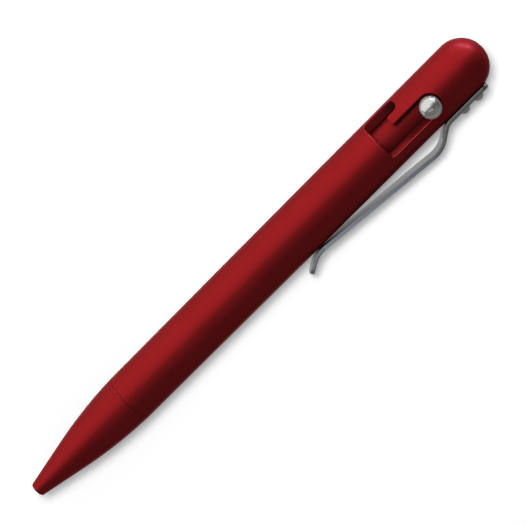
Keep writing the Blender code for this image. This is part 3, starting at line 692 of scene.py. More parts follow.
def turned(outline, sides, closed=False, relief=None):
    """Spins (x, radius) points about +X. relief(x, radius, angle) adds to the radius."""
    bm = bmesh.new()
    rings = []
    for x, radius in outline:
        if radius < MERGE_DISTANCE:
            rings.append([bm.verts.new((x, 0, 0))])
            continue
        ring = []
        for side in range(sides):
            angle = math.tau * side / sides
            reach = radius + (relief(x, radius, angle) if relief else 0)
            ring.append(bm.verts.new(round_place(x, reach, angle)))
        rings.append(ring)
    pairs = list(zip(rings, rings[1:]))
    if closed:
        pairs.append((rings[-1], rings[0]))
    for first, second in pairs:
        for side in range(sides):
            near, far = side, (side + 1) % sides
            corners = [first[near % len(first)], first[far % len(first)]]
            corners += [second[far % len(second)], second[near % len(second)]]
            bm.faces.new(list(dict.fromkeys(corners)))
    bmesh.ops.recalc_face_normals(bm, faces=bm.faces)
    return bm


def skinned(places, triangles=False):
    """A solid skinned over rings of places, with flat ends."""
    bm = bmesh.new()
    rings = [[bm.verts.new(place) for place in ring] for ring in places]
    for first, second in zip(rings, rings[1:]):
        for index in range(len(first)):
            bm.faces.new((first[index - 1], first[index], second[index], second[index - 1]))
    bm.faces.new(rings[0])
    bm.faces.new(rings[-1])
    if triangles:
        bmesh.ops.triangulate(bm, faces=bm.faces)
    bmesh.ops.recalc_face_normals(bm, faces=bm.faces)
    return bm


def cylinder(start, end, radius, sides):
    """A plain cylinder along +X, for cutting."""
    return turned([(start, 0), (start, radius), (end, radius), (end, 0)], sides)


def box(low, high):
    """A block between two opposite corners, for cutting."""
    low = Vector(low)
    high = Vector(high)
    bm = bmesh.new()
    bmesh.ops.create_cube(bm, size=1)
    bmesh.ops.scale(bm, vec=high - low, verts=bm.verts)
    bmesh.ops.translate(bm, vec=(low + high) / 2, verts=bm.verts)
    return bm


def thread_wave(x, angle, start, end):
    """How deep a right-hand thread is cut at a place, from 0 to 1, running out at both ends."""
    if not start < x < end:
        return 0.0
    turn = (x / THREAD_PITCH - angle / math.tau) % 1
    flank = min(2 * abs(turn - 0.5) * THREAD_FLANK, 1)
    runout = min((x - start) / THREAD_RUNOUT, (end - x) / THREAD_RUNOUT, 1)
    return flank * runout


def thread_rows(start, end):
    """Places along a thread, close enough to draw it."""
    step = THREAD_PITCH / THREAD_STEPS
    count = int((end - start) / step)
    return [start + (end - start) * index / count for index in range(1, count)]


def link(name, data):
    """Puts a mesh, a lamp or a camera into the scene as an object."""
    made = bpy.data.objects.new(name, data)
    bpy.context.scene.collection.objects.link(made)
    return made


def add_object(name, bm, matrix=Matrix.Identity(4)):
    """Puts a bmesh into the scene at a matrix in the pen's frame."""
    mesh = bpy.data.meshes.new(name)
    bmesh.ops.transform(bm, matrix=PEN @ matrix, verts=bm.verts)
    bm.to_mesh(mesh)
    bm.free()
    return link(name, mesh)


def settle(made):
    """Applies an object's modifiers."""
    bpy.context.view_layer.update()
    shape = made.evaluated_get(bpy.context.evaluated_depsgraph_get())
    mesh = bpy.data.meshes.new_from_object(shape)
    made.modifiers.clear()
    made.data = mesh


def carve(made, cutters):
    """Takes each cutter, a bmesh with its matrix in the pen's frame, out of an object."""
    tools = [add_object("cutter", bm, matrix) for bm, matrix in cutters]
    for tool in tools:
        modifier = made.modifiers.new("cut", "BOOLEAN")
        modifier.operation = "DIFFERENCE"
        modifier.solver = "EXACT"
        modifier.object = tool
    settle(made)
    for tool in tools:
        bpy.data.objects.remove(tool, do_unlink=True)


def bevel(made, width):
    """Breaks an object's sharp edges."""
    modifier = made.modifiers.new("edge break", "BEVEL")
    modifier.width = width
    modifier.segments = BEVEL_STEPS
    modifier.limit_method = "ANGLE"
    modifier.angle_limit = math.radians(BEVEL_ANGLE)
    settle(made)


def mark_edges(mesh, width):
    """Gives narrow faces, the broken edges, the attribute for paler edges: wear, and in the red also a
    painted glint.
    """
    marks = mesh.attributes.new("edge", "FLOAT", "FACE")
    for index, polygon in enumerate(mesh.polygons):
        places = [mesh.vertices[corner].co for corner in polygon.vertices]
        spans = sorted((a - b).length for a, b in zip(places, places[1:] + places[:1]))
        marks.data[index].value = float(spans[0] < width and len(places) <= MOST_EDGE_CORNERS)


def mark_reach(mesh, matrix):
    """Gives each point the attribute "reach", its distance from a matrix's X axis in the pen's frame."""
    local = (PEN @ matrix).inverted()
    marks = mesh.attributes.new("reach", "FLOAT", "POINT")
    for index, vertex in enumerate(mesh.vertices):
        place = local @ vertex.co
        marks.data[index].value = math.hypot(place.y, place.z)


def true_normals(made, normal_at, wall_top):
    """Shades a carved round surface as smoothly as it was turned, and paints shade on the walls carved into
    it.

    normal_at(place) is None off that surface. Faces nearer the axis than wall_top are no worn edges.
    """
    mesh = made.data
    back = PEN.inverted()
    turn = PEN.to_3x3()
    found = [normal_at(back @ vertex.co) for vertex in mesh.vertices]
    normals = [corner.vector.copy() for corner in mesh.corner_normals]
    edges = mesh.attributes["edge"]
    inside = mesh.attributes.new("inside", "FLOAT", "CORNER")
    for polygon in mesh.polygons:
        place = back @ polygon.center
        if math.hypot(place.y, place.z) < wall_top:
            edges.data[polygon.index].value = 0
        if all(found[corner] for corner in polygon.vertices):
            edges.data[polygon.index].value = 0
            for loop in polygon.loop_indices:
                normals[loop] = turn @ found[mesh.loops[loop].vertex_index]
        elif not edges.data[polygon.index].value:
            # Painted shade: a darkness for the carved walls, even on most and rising to the rear end of the
            # slot's short leg
            for loop in polygon.loop_indices:
                corner = back @ mesh.vertices[mesh.loops[loop].vertex_index].co
                rise = (corner.x - SHORT_END_X) / SHORT_LEG_PAINTED_SHADE_LENGTH + 1
                share = min(max(rise, 0), 1) if place.y > SHORT_LEG_SIDE else 0
                inside.data[loop].value = WALL_PAINTED_SHADE + SHORT_LEG_PAINTED_SHADE * share
    mesh.normals_split_custom_set(normals)


def weigh_normals(made):
    """Shades flat faces flat and leaves the turn of the light to the narrow edges between them."""
    modifier = made.modifiers.new("weighted shading", "WEIGHTED_NORMAL")
    modifier.keep_sharp = True
    settle(made)


def dress(made, node, material, body, edge_width=None):
    """Names a piece after its node, gives it its finish and its body, and lets it stand for the node."""
    if edge_width:
        mark_edges(made.data, edge_width)
    made.name = f"{node}_shell"
    made.data.name = made.name
    made.data.materials.clear()
    made.data.materials.append(material)
    made.data.shade_smooth()
    made.data.set_sharp_from_angle(angle=math.radians(SMOOTH_ANGLE))
    if body:
        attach(made, body)
    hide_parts(node)


def add_piece(node, bm, material, body, edge_width=None, matrix=Matrix.Identity(4), cutters=()):
    """Makes one piece out of its shape, less what is carved out of it, and dresses it."""
    made = add_object(node, bm, matrix)
    if cutters:
        carve(made, cutters)
    dress(made, node, material, body, edge_width)
    return made


def barrel_radius_at(x):
    """The barrel's outer radius, which widens evenly from the nose joint and then runs straight."""
    share = min(max((x - BARREL_FRONT_X) / (STRAIGHT_X - BARREL_FRONT_X), 0), 1)
    return BARREL_FRONT_RADIUS + share * (SKIN_RADIUS - BARREL_FRONT_RADIUS)


def make_nose_cone(material):
    """The nose cone with its rounded mouth, ogive and threaded spigot."""
    slope = math.tan(math.radians(CONE_ANGLE))
    cone_end = (CONE_LENGTH, TIP_RADIUS + (CONE_LENGTH - TIP_ROUND) * slope)
    outline = softened([
        (SPRING_SEAT_DEPTH, MOUTH_RADIUS, 0),
        (0, MOUTH_RADIUS, EDGE_BREAK / 2),
        (0, TIP_RADIUS - TIP_ROUND * slope, TIP_ROUND),
        (*cone_end, 0),
    ])
    ogive_end = (NOSE_LENGTH - JOINT_EDGE, BARREL_FRONT_RADIUS)
    outline += tangent_arc(cone_end, CONE_ANGLE, ogive_end, OGIVE_STEPS)
    outline.append((NOSE_LENGTH, BARREL_FRONT_RADIUS - JOINT_EDGE))
    outline.append((NOSE_LENGTH, SPIGOT_RADIUS))
    outline += [(x, SPIGOT_RADIUS) for x in thread_rows(NOSE_LENGTH, SPIGOT_END_X - EDGE_BREAK)]
    outline += softened([
        (SPIGOT_END_X - EDGE_BREAK, SPIGOT_RADIUS, 0),
        (SPIGOT_END_X, SPIGOT_RADIUS - EDGE_BREAK, 0),
        (SPIGOT_END_X, REFILL_BORE_RADIUS, EDGE_BREAK),
        (FULL_TUBE_X - BOLT_TRAVEL - STOP_GAP, REFILL_BORE_RADIUS, 0),
        (SHOULDER_X - BOLT_TRAVEL - STOP_GAP, SPRING_BORE_RADIUS, 0),
        (SPRING_SEAT_DEPTH, SPRING_BORE_RADIUS, 0),
    ])

    def relief(x, radius, angle):
        if abs(radius - SPIGOT_RADIUS) > MERGE_DISTANCE:
            return 0.0
        start = NOSE_LENGTH + THREAD_RUNOUT
        return -THREAD_DEPTH * thread_wave(x, angle, start, SPIGOT_END_X - EDGE_BREAK)

    shape = turned(outline, BARREL_SIDES, True, relief)
    add_piece("nose_cone", shape, material, "nose", JOINT_EDGE * 2)


def slot_corners():
    """The slot's corners: an arc's centre, the ways in and out, its radius and +1 where it is convex."""
    low = -LONG_LEG_WIDTH / 2
    middle = LONG_LEG_WIDTH / 2
    short_low = middle + TONGUE_WIDTH
    high = short_low + SHORT_LEG_WIDTH
    places = [
        (SLOT_FRONT_X, low, FRONT_CORNER),
        (LONG_END_X, low, LONG_LEG_WIDTH / 2),
        (LONG_END_X, middle, LONG_LEG_WIDTH / 2),
        (TONGUE_X, middle, TONGUE_CORNER),
        (TONGUE_X, short_low, TONGUE_CORNER),
        (SHORT_END_X, short_low, SHORT_CORNER),
        (SHORT_END_X, high, SHORT_CORNER),
        (SLOT_FRONT_X, high, FRONT_CORNER),
    ]
    corners = []
    for index, (x, around, radius) in enumerate(places):
        here = Vector((x, around))
        way_in = (here - Vector(places[index - 1][:2])).normalized()
        way_out = (Vector(places[(index + 1) % len(places)][:2]) - here).normalized()
        side = math.copysign(1, way_in.x * way_out.y - way_in.y * way_out.x)
        corners.append((here + (way_out - way_in) * radius, way_in, way_out, radius, side))
    return corners


def slot_points(growth):
    """The slot's outline, grown outwards, as (x, distance round the barrel away from the clip)."""
    corners = slot_corners()
    points = []
    for index, (centre, way_in, way_out, radius, side) in enumerate(corners):
        reach = radius + side * growth
        for step in range(SLOT_STEPS + 1):
            angle = math.pi / 2 * step / SLOT_STEPS
            points.append(centre + (way_in * math.sin(angle) - way_out * math.cos(angle)) * reach)
        next_centre, _, next_way_out, next_radius, next_side = corners[(index + 1) % len(corners)]
        start = points[-1]
        end = next_centre - next_way_out * (next_radius + next_side * growth)
        if (end - start).length < MERGE_DISTANCE:
            points.pop()
        span = abs(next_centre.y - centre.y) * abs(way_out.y)
        steps = math.ceil(math.degrees(span / BARREL_RADIUS) / SLOT_ANGLE_STEP)
        points += [start.lerp(end, step / steps) for step in range(1, steps)]
    return points


def slot_shape():
    """The slot as a solid whose walls point at the pen's axis, with a rounded edge at the surface."""
    levels = [
        (BORE_RADIUS / 2, 0),
        (BARREL_RADIUS - SLOT_CHAMFER, 0),
        (BARREL_RADIUS - SLOT_CHAMFER * SLOT_EDGE_DEPTH, SLOT_CHAMFER * SLOT_EDGE_GROWTH),
        (BARREL_RADIUS + CUT_OVERRUN / 2, SLOT_CHAMFER * SLOT_EDGE_TOP),
        (BARREL_RADIUS * 2, SLOT_CHAMFER * SLOT_EDGE_TOP),
    ]
    rings = []
    for radius, growth in levels:
        points = slot_points(growth)
        rings.append([round_place(x, radius, math.pi / 2 - around / BARREL_RADIUS) for x, around in points])
    return skinned(rings, triangles=True)


def barrel_normal(place):
    """The way out of the barrel's outer surface at a place on it, or None."""
    reach = math.hypot(place.y, place.z)
    outward = Vector((0, place.y, place.z)).normalized()
    if place.x > DOME_X:
        along = (place.x - DOME_X) * SKIN_RADIUS / DOME_LENGTH
        on_skin = abs(math.hypot(along, reach) - SKIN_RADIUS) < SKIN_TOLERANCE
        return Vector((along, place.y, place.z)).normalized() if on_skin else None
    if abs(reach - barrel_radius_at(place.x)) > SKIN_TOLERANCE:
        return None
    if place.x > STRAIGHT_X:
        return outward
    slope = (SKIN_RADIUS - BARREL_FRONT_RADIUS) / (STRAIGHT_X - BARREL_FRONT_X)
    return (outward - Vector((slope, 0, 0))).normalized()


def make_barrel(material):
    """The barrel with its threaded socket, its slot, the clip's flat seat and the screws' holes."""
    thread_end = SOCKET_END_X - SOCKET_RELIEF
    outline = softened([
        (BORE_END_X, 0, 0),
        (BORE_END_X, BORE_RADIUS, BORE_ROUND),
        (SOCKET_END_X, BORE_RADIUS, 0),
        (SOCKET_END_X, SOCKET_RADIUS, 0),
    ])
    threads = thread_rows(BARREL_FRONT_X + EDGE_BREAK, thread_end)
    outline += [(x, SOCKET_RADIUS) for x in reversed(threads)]
    outline += [
        (BARREL_FRONT_X + EDGE_BREAK, SOCKET_RADIUS),
        (BARREL_FRONT_X, SOCKET_RADIUS + EDGE_BREAK),
        (BARREL_FRONT_X, BARREL_FRONT_RADIUS - JOINT_EDGE),
        (BARREL_FRONT_X + JOINT_EDGE, BARREL_FRONT_RADIUS),
        (STRAIGHT_X, SKIN_RADIUS),
    ]
    outline += arc(DOME_X, DOME_LENGTH, SKIN_RADIUS, math.pi / 2, 0, DOME_STEPS)

    def relief(x, radius, angle):
        if abs(radius - SOCKET_RADIUS) > MERGE_DISTANCE:
            return 0.0
        return THREAD_DEPTH * thread_wave(x, angle, BARREL_FRONT_X, thread_end)

    seat_low = (CLIP_FOOT_X - CLIP_SEAT_LEAD, -BARREL_RADIUS - CUT_OVERRUN, -BARREL_RADIUS)
    seat_high = (PEN_LENGTH, -SEAT_HEIGHT, BARREL_RADIUS)
    cutters = [(slot_shape(), Matrix.Identity(4)), (box(seat_low, seat_high), Matrix.Identity(4))]
    for screw_x in (FRONT_SCREW_X, REAR_SCREW_X):
        hole = cylinder(SCREW_HOLE_FLOOR, BARREL_RADIUS + CUT_OVERRUN, SCREW_HOLE_RADIUS, SCREW_SIDES)
        cutters.append((hole, screw_frame(screw_x)))
    shape = turned(outline, BARREL_SIDES, False, relief)
    edge = SLOT_CHAMFER * SLOT_EDGE_TOP
    made = add_piece("barrel", shape, material, "barrel", edge, cutters=cutters)
    true_normals(made, barrel_normal, BARREL_RADIUS - SLOT_CHAMFER * WALL_START)


def screw_frame(screw_x):
    """The frame of a clip screw: +X points from the pen's axis at the clip."""
    return Matrix.Translation((screw_x, 0, 0)) @ Matrix.Rotation(math.radians(-90), 4, "Z")


def make_bolt(material):
    """The bolt that slides in the barrel, with a pocket for the refill and a cross hole for the knob."""
    outline = softened([
        (POCKET_FLOOR_X, 0, 0),
        (POCKET_FLOOR_X, REFILL_BORE_RADIUS, 0),
        (BOLT_FRONT_X, REFILL_BORE_RADIUS, EDGE_BREAK),
        (BOLT_FRONT_X, BOLT_RADIUS, BOLT_CHAMFER),
        (BOLT_END_X, BOLT_RADIUS, BOLT_CHAMFER),
        (BOLT_END_X, 0, 0),
    ])
    hole = cylinder(-STUD_REACH - FIT_GAP, BOLT_RADIUS + CUT_OVERRUN, STUD_RADIUS + FIT_GAP, SNOUT_SIDES)
    cutters = [(hole, KNOB_FRAME)]
    shape = turned(outline, BOLT_SIDES)
    made = add_piece("bolt", shape, material, "bolt", SLOT_CHAMFER, cutters=cutters)

    def bolt_normal(place):
        on_skin = abs(math.hypot(place.y, place.z) - BOLT_RADIUS) < SKIN_TOLERANCE
        return Vector((0, place.y, place.z)).normalized() if on_skin else None

    true_normals(made, bolt_normal, BOLT_RADIUS - BOLT_CHAMFER * WALL_START)


def make_bolt_knob(material):
    """The knob: a stud, a collar, a groove and a domed head with a small pip where the tool ended."""
    collar_base = BARREL_RADIUS + KNOB_LIFT
    collar_top = collar_base + COLLAR_HEIGHT
    head_base = collar_top + GROOVE_WIDTH
    head_top = head_base + HEAD_HEIGHT - SKIN_DEPTH
    head_radius = HEAD_RADIUS - SKIN_DEPTH
    groove_radius = HEAD_RADIUS - GROOVE_DEPTH
    outline = softened([
        (-STUD_REACH, 0, 0),
        (-STUD_REACH, STUD_RADIUS, STUD_CHAMFER),
        (collar_base, STUD_RADIUS, EDGE_BREAK),
        (collar_base, COLLAR_RADIUS, EDGE_BREAK),
        (collar_top, COLLAR_RADIUS, EDGE_BREAK),
        (collar_top, groove_radius, 0),
        (head_base, groove_radius, 0),
        (head_base, head_radius, EDGE_BREAK),
        (head_top, head_radius, HEAD_EDGE),
        (head_top, head_radius - HEAD_EDGE, 0),
    ])[:-1]
    dome = dome_points(head_top, head_radius - HEAD_EDGE, HEAD_DOME, DOME_STEPS)
    outline += [place for place in dome if place[1] > PIP_RADIUS]
    top = head_top + HEAD_DOME
    outline += [(top - PIP_DEPTH, PIP_RADIUS * share) for share in PIP_RING]
    outline += [(top, PIP_RADIUS * PIP_POINT), (top, 0)]
    shape = turned(outline, KNOB_SIDES)
    made = add_piece("bolt_knob", shape, material, "bolt", matrix=KNOB_FRAME)
    mark_reach(made.data, KNOB_FRAME)


def make_refill_tube(material):
    """The refill's tube with its shoulder and a crimp ring near its rear end."""
    neck_radius = SNOUT_RADIUS + HEAD_GAP
    crimp = [TUBE_END_X - PLUG_LENGTH * share for share in CRIMP_SHARES]
    outline = softened([
        (SHOULDER_X, neck_radius, 0),
        (SHOULDER_X, SHOULDER_RADIUS, EDGE_BREAK),
        (FULL_TUBE_X, REFILL_RADIUS, EDGE_BREAK * 4),
        (crimp[0], REFILL_RADIUS, 0),
        (crimp[1], REFILL_RADIUS - EDGE_BREAK, EDGE_BREAK),
        (crimp[2], REFILL_RADIUS - EDGE_BREAK, EDGE_BREAK),
        (crimp[3], REFILL_RADIUS, 0),
        (TUBE_END_X, REFILL_RADIUS, EDGE_BREAK),
        (TUBE_END_X, TUBE_BORE_RADIUS, 0),
        (FULL_TUBE_X + THROAT_LENGTH, TUBE_BORE_RADIUS, 0),
        (FULL_TUBE_X, neck_radius, 0),
    ], True)
    add_piece("refill_tube", turned(outline, REFILL_SIDES, True), material, "refill")


def make_refill_tip(material):
    """The writing tip: a lip round the ball, a cone, a stepped snout and an ink channel."""
    socket = BALL_RADIUS + BALL_GAP
    lip_angle = math.acos((BALL_RADIUS - BALL_SHOW) / socket)
    channel_angle = math.pi - math.asin(INK_CHANNEL_RADIUS / socket)
    ball_x = REFILL_RECESS + BALL_RADIUS
    face_x = REFILL_RECESS + BALL_SHOW
    outline = softened([
        (face_x, socket * math.sin(lip_angle) + LIP_WALL, 0),
        *((face_x + POINT_LENGTH * x, SNOUT_RADIUS * width, edge) for x, width, edge in POINT_STEPS),
        (SHOULDER_X + SNOUT_INSERT, SNOUT_RADIUS, 0),
        (SHOULDER_X + SNOUT_INSERT, INK_CHANNEL_RADIUS, 0),
    ])
    outline += arc(ball_x, -socket, socket, channel_angle, lip_angle, BALL_STEPS)
    add_piece("refill_tip", turned(outline, SNOUT_SIDES, True), material, "refill")


def make_refill_ball(material):
    """The ball, spun from a half circle."""
    outline = arc(REFILL_RECESS + BALL_RADIUS, -BALL_RADIUS, BALL_RADIUS, 0, math.pi, BALL_STEPS)
    add_piece("refill_ball", turned(outline, SNOUT_SIDES), material, "refill")


def make_refill_end_cap(material):
    """The vented plastic plug at the refill's rear end, with a notched crown."""
    plug_x = TUBE_END_X - PLUG_LENGTH
    plug_radius = TUBE_BORE_RADIUS - HEAD_GAP
    crown_radius = REFILL_RADIUS - CROWN_STEP
    outline = softened([
        (plug_x, VENT_RADIUS, 0),
        (plug_x, plug_radius, EDGE_BREAK * 2),
        (CROWN_X, plug_radius, 0),
        (CROWN_X, crown_radius, EDGE_BREAK),
        (REFILL_END_X, crown_radius, EDGE_BREAK * 2),
        (REFILL_END_X, VENT_RADIUS, EDGE_BREAK),
    ], True)
    low = (-NOTCH_DEPTH, -REFILL_RADIUS, -NOTCH_WIDTH / 2)
    high = (CUT_OVERRUN, REFILL_RADIUS, NOTCH_WIDTH / 2)
    cutters = []
    for pair in range(NOTCH_PAIRS):
        turn = Matrix.Rotation(math.pi * pair / NOTCH_PAIRS, 4, "X")
        cutters.append((box(low, high), Matrix.Translation((REFILL_END_X, 0, 0)) @ turn))
    shape = turned(outline, REFILL_SIDES, True)
    add_piece("refill_end_cap", shape, material, "refill", cutters=cutters)


def spring_middle():
    """The middle line of the spring's wire, with closed turns at both ends."""
    count = SPRING_TURNS * WIRE_POINTS_PER_TURN
    start = SPRING_SEAT_DEPTH + SEAT_GAP + WIRE_RADIUS
    length = SHOULDER_X - SEAT_GAP - WIRE_RADIUS - start
    closed_rise = CLOSED_TURNS * WIRE_RADIUS * 2
    points = []
    for index in range(count + 1):
        turn = index / WIRE_POINTS_PER_TURN
        share = (turn - CLOSED_TURNS) / (SPRING_TURNS - 2 * CLOSED_TURNS)
        if share < 0:
            x = start + turn * WIRE_RADIUS * 2
        elif share > 1:
            x = start + length - (SPRING_TURNS - turn) * WIRE_RADIUS * 2
        else:
            x = start + closed_rise + share * (length - 2 * closed_rise)
        points.append(Vector(round_place(x, SPRING_RADIUS, math.tau * turn)))
    return points


def make_return_spring(material):
    """The coil spring, as a swept tube with flat ends."""
    points = spring_middle()
    rings = []
    for index, point in enumerate(points):
        along = (points[min(index + 1, len(points) - 1)] - points[max(index - 1, 0)]).normalized()
        outward = Vector((0, point.y, point.z)).normalized()
        upward = along.cross(outward).normalized()
        ring = []
        for side in range(WIRE_SIDES):
            angle = math.tau * side / WIRE_SIDES
            ring.append(point + (outward * math.cos(angle) + upward * math.sin(angle)) * WIRE_RADIUS)
        rings.append(ring)
    made = add_piece("return_spring", skinned(rings), material, "spring")
    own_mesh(made)


def clip_stretches():
    """The clip's inner face from the tail to the flare, as (length, radius, turn) stretches."""
    rise = math.radians(RISE_ANGLE)
    flare = math.radians(FLARE_ANGLE)
    ramp = (CLIP_RISE - (FOOT_BEND + TOP_BEND) * (1 - math.cos(rise))) / math.sin(rise)
    top_x = CLIP_FOOT_X - (FOOT_BEND + TOP_BEND) * math.sin(rise) - ramp * math.cos(rise)
    drop = PLATE_HEIGHT + CLIP_RISE - barrel_radius_at(CLIP_TOUCH_X) - TOUCH_GAP
    bends = TOP_BEND + TOUCH_BEND
    centres = Vector((top_x - CLIP_TOUCH_X, bends - drop))
    arm = math.sqrt(centres.length_squared - bends**2)
    slope = math.atan2(bends, arm) - math.atan2(centres.y, centres.x)
    return [
        (PLATE_LENGTH, 0, 0),
        (FOOT_BEND * rise, FOOT_BEND, rise),
        (ramp, 0, 0),
        (TOP_BEND * (rise + slope), TOP_BEND, -rise - slope),
        (arm, 0, 0),
        (TOUCH_BEND * (slope + flare), TOUCH_BEND, slope + flare),
        (FLARE_LENGTH, 0, 0),
    ]


def clip_place(distance, stretches):
    """The clip's inner face at a distance from its tail end: x, distance from the axis and heading."""
    x = CLIP_END_X
    height = PLATE_HEIGHT
    heading = 0.0
    for length, radius, turn in stretches:
        step = min(distance, length)
        if radius:
            turned_by = turn * step / length
            bend = math.copysign(radius, turn)
            x -= bend * (math.sin(heading + turned_by) - math.sin(heading))
            height += bend * (math.cos(heading) - math.cos(heading + turned_by))
            heading += turned_by
        else:
            x -= step * math.cos(heading)
            height += step * math.sin(heading)
        distance -= step
        if distance <= 0:
            break
    return x, height, heading


def clip_stations(stretches):
    """Distances along the clip with its half width there: rounded ends, even steps along each stretch."""
    total = sum(length for length, _, _ in stretches)
    corner_end = CLIP_CORNER * CLIP_CORNER_END
    inner_width = CLIP_WIDTH / 2 - CLIP_CORNER
    stations = []
    for step in range(SLOT_STEPS + 1):
        angle = math.pi / 2 * step / SLOT_STEPS
        inset = CLIP_CORNER * (1 - math.cos(angle))
        width = inner_width + CLIP_CORNER * math.sin(angle)
        stations += [(inset, width), (total - inset, width)]
    passed = 0
    for length, _, _ in stretches:
        for step in range(BEND_STEPS + 1):
            place = passed + length * step / BEND_STEPS
            if corner_end < place < total - corner_end:
                stations.append((place, CLIP_WIDTH / 2))
        passed += length
    stations.sort()
    kept = [stations[0]]
    for station in stations[1:]:
        if station[0] - kept[-1][0] > MERGE_DISTANCE:
            kept.append(station)
    return kept


def make_pocket_clip(material):
    """The bent clip strip with broken edges and a hole for each screw, flat along its plate up to its foot.
    """
    stretches = clip_stretches()
    rings = []
    for distance, half_width in clip_stations(stretches):
        x, height, heading = clip_place(distance, stretches)
        inner = Vector((x, -height, 0))
        outer = inner + Vector((math.sin(heading), -math.cos(heading), 0)) * CLIP_THICKNESS
        side = Vector((0, 0, half_width))
        rings.append((inner - side, inner + side, outer + side, outer - side))
    made = add_object("pocket_clip", skinned(rings))
    bevel(made, CLIP_EDGE)
    cutters = []
    for screw_x in (FRONT_SCREW_X, REAR_SCREW_X):
        top = PLATE_HEIGHT + CLIP_THICKNESS + CUT_OVERRUN
        cutters.append((cylinder(SEAT_HEIGHT, top, SCREW_HOLE_RADIUS, SCREW_SIDES), screw_frame(screw_x)))
    carve(made, cutters)
    dress(made, "pocket_clip", material, None, CLIP_EDGE)
    weigh_normals(made)
    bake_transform(made)


def lobed_socket(top):
    """The screw's six-lobed drive, for cutting, along +X."""
    rings = []
    for x in (top - DRIVE_DEPTH, top + CUT_OVERRUN):
        ring = []
        for side in range(SCREW_SIDES):
            angle = math.tau * side / SCREW_SIDES
            reach = DRIVE_RADIUS - DRIVE_LOBE_DEPTH * (1 - math.cos(DRIVE_LOBES * angle)) / 2
            ring.append(round_place(x, reach, angle))
        rings.append(ring)
    return skinned(rings)


def make_clip_screw(node, screw_x, material):
    """A button-head screw through the clip into the barrel's wall."""
    tip = SCREW_HOLE_FLOOR + SCREW_TIP_GAP
    rim_top = SCREW_HEAD_SEAT + SCREW_HEAD_RIM
    top = SCREW_HEAD_SEAT + SCREW_HEAD_HEIGHT
    outline = softened([
        (tip, 0, 0),
        (tip, SCREW_RADIUS, SCREW_TIP_CHAMFER),
        (SCREW_HEAD_SEAT, SCREW_RADIUS, 0),
        (SCREW_HEAD_SEAT, SCREW_HEAD_RADIUS, EDGE_BREAK / 2),
        (rim_top, SCREW_HEAD_RADIUS, 0),
    ])[:-1]
    outline += dome_points(rim_top, SCREW_HEAD_RADIUS, SCREW_HEAD_HEIGHT - SCREW_HEAD_RIM, DOME_STEPS)
    outline.append((top, 0))
    shape = turned(outline, SCREW_SIDES)
    place = screw_frame(screw_x)
    socket = (lobed_socket(top), place)
    made = add_piece(node, shape, material, "barrel", matrix=place, cutters=[socket])
    mark_reach(made.data, place)


def make_floor():
    """A pale floor that looks white where nothing shades it, in the metal too, and stays white far away."""
    f = Finish(bpy.data.materials.new("pale floor"))
    matt = f.node("BsdfDiffuse", {}, {"Color": FLOOR_GREY})
    place = f.node("NewGeometry", output="Position")
    far = f.node("VectorMath", {"operation": "LENGTH"}, {0: place}, "Value")
    strength = f.seen() * f.spread(far, *FLOOR_GLOW_PLACES, *FLOOR_GLOW_LEVELS)
    glow = f.node("Emission", {}, {"Color": WHITE, "Strength": strength})
    f.end(f.node("AddShader", {}, {0: matt, 1: glow}))
    bm = bmesh.new()
    bmesh.ops.create_grid(bm, x_segments=2, y_segments=2, size=FLOOR_REACH)
    floor = add_object("floor", bm, PEN.inverted())
    floor.data.materials.append(f.owner)


def glow_card(name, rows, levels, colour=WHITE):
    """A card that only shows in the metal. Each of its points has its own level of grey."""
    f = Finish(bpy.data.materials.new(name))
    strength = f.mark("level") * f.before_matt()
    f.end(f.node("Emission", {}, {"Color": colour, "Strength": strength}))
    bm = bmesh.new()
    shade = bm.verts.layers.float.new("level")
    grid = []
    for row, tones in zip(rows, levels):
        grid.append([bm.verts.new(place) for place in row])
        for vertex, tone in zip(grid[-1], tones):
            vertex[shade] = tone
    for first, second in zip(grid, grid[1:]):
        for index in range(1, len(first)):
            bm.faces.new((first[index - 1], first[index], second[index], second[index - 1]))
    card = add_object(name, bm, PEN.inverted())
    card.data.materials.append(f.owner)
    card.visible_camera = False
    card.visible_diffuse = False
    card.visible_shadow = False


def surround(name, columns, tones, radius, lift=0.0, colour=WHITE):
    """A screen bent round the pen. Rows of tones start with their angle from straight up to the clip."""
    rows = []
    for angle, *_ in tones:
        bearing = math.radians(angle)
        rows.append([(x, -radius * math.sin(bearing), radius * math.cos(bearing) + lift) for x in columns])
    glow_card(name, rows, [row[1:] for row in tones], colour)


def standing_card(name, centre_x, radius, bearings, heights, colour=WHITE):
    """A card that stands on end, bent round a place on the pen."""
    rows = []
    levels = []
    for bearing, level in bearings:
        turn = math.radians(bearing)
        x = centre_x + radius * math.cos(turn)
        y = radius * math.sin(turn)
        rows.append([(x, y, height) for height, _ in heights])
        levels.append([level * share for _, share in heights])
    glow_card(name, rows, levels, colour)


def view_axes():
    """The camera's directions: along the pen to its tail, across it to its clip, and towards the camera."""
    lean = math.radians(VIEW_LEAN)
    around = math.radians(VIEW_TURN)
    sideways = -math.cos(lean) * math.cos(around)
    toward = Vector((math.sin(lean), sideways, math.cos(lean) * math.sin(around)))
    along = (Vector((1, 0, 0)) - toward * toward.x).normalized()
    turn = PEN.to_3x3()
    return turn @ along, turn @ along.cross(toward), turn @ toward


def from_view(parts):
    """A direction whose parts go along the camera's directions."""
    return sum((axis * part for axis, part in zip(view_axes(), parts)), Vector())


def make_strip_light():
    """A narrow card that gives the tail its highlight."""
    centre = Vector((TAIL_GLOW_X, 0, AXIS_HEIGHT))
    near_end = centre + STRIP_DISTANCE * from_view(STRIP_NEAR)
    far_end = centre + STRIP_DISTANCE * from_view(STRIP_FAR)
    side = STRIP_HALF_WIDTH * from_view(Vector(STRIP_SIDE).normalized())
    rows = [(end - side, end + side) for end in (near_end, near_end.lerp(far_end, 0.5), far_end)]
    glow_card("strip light beyond the tail", rows, [(level, level) for level in STRIP_LEVELS])


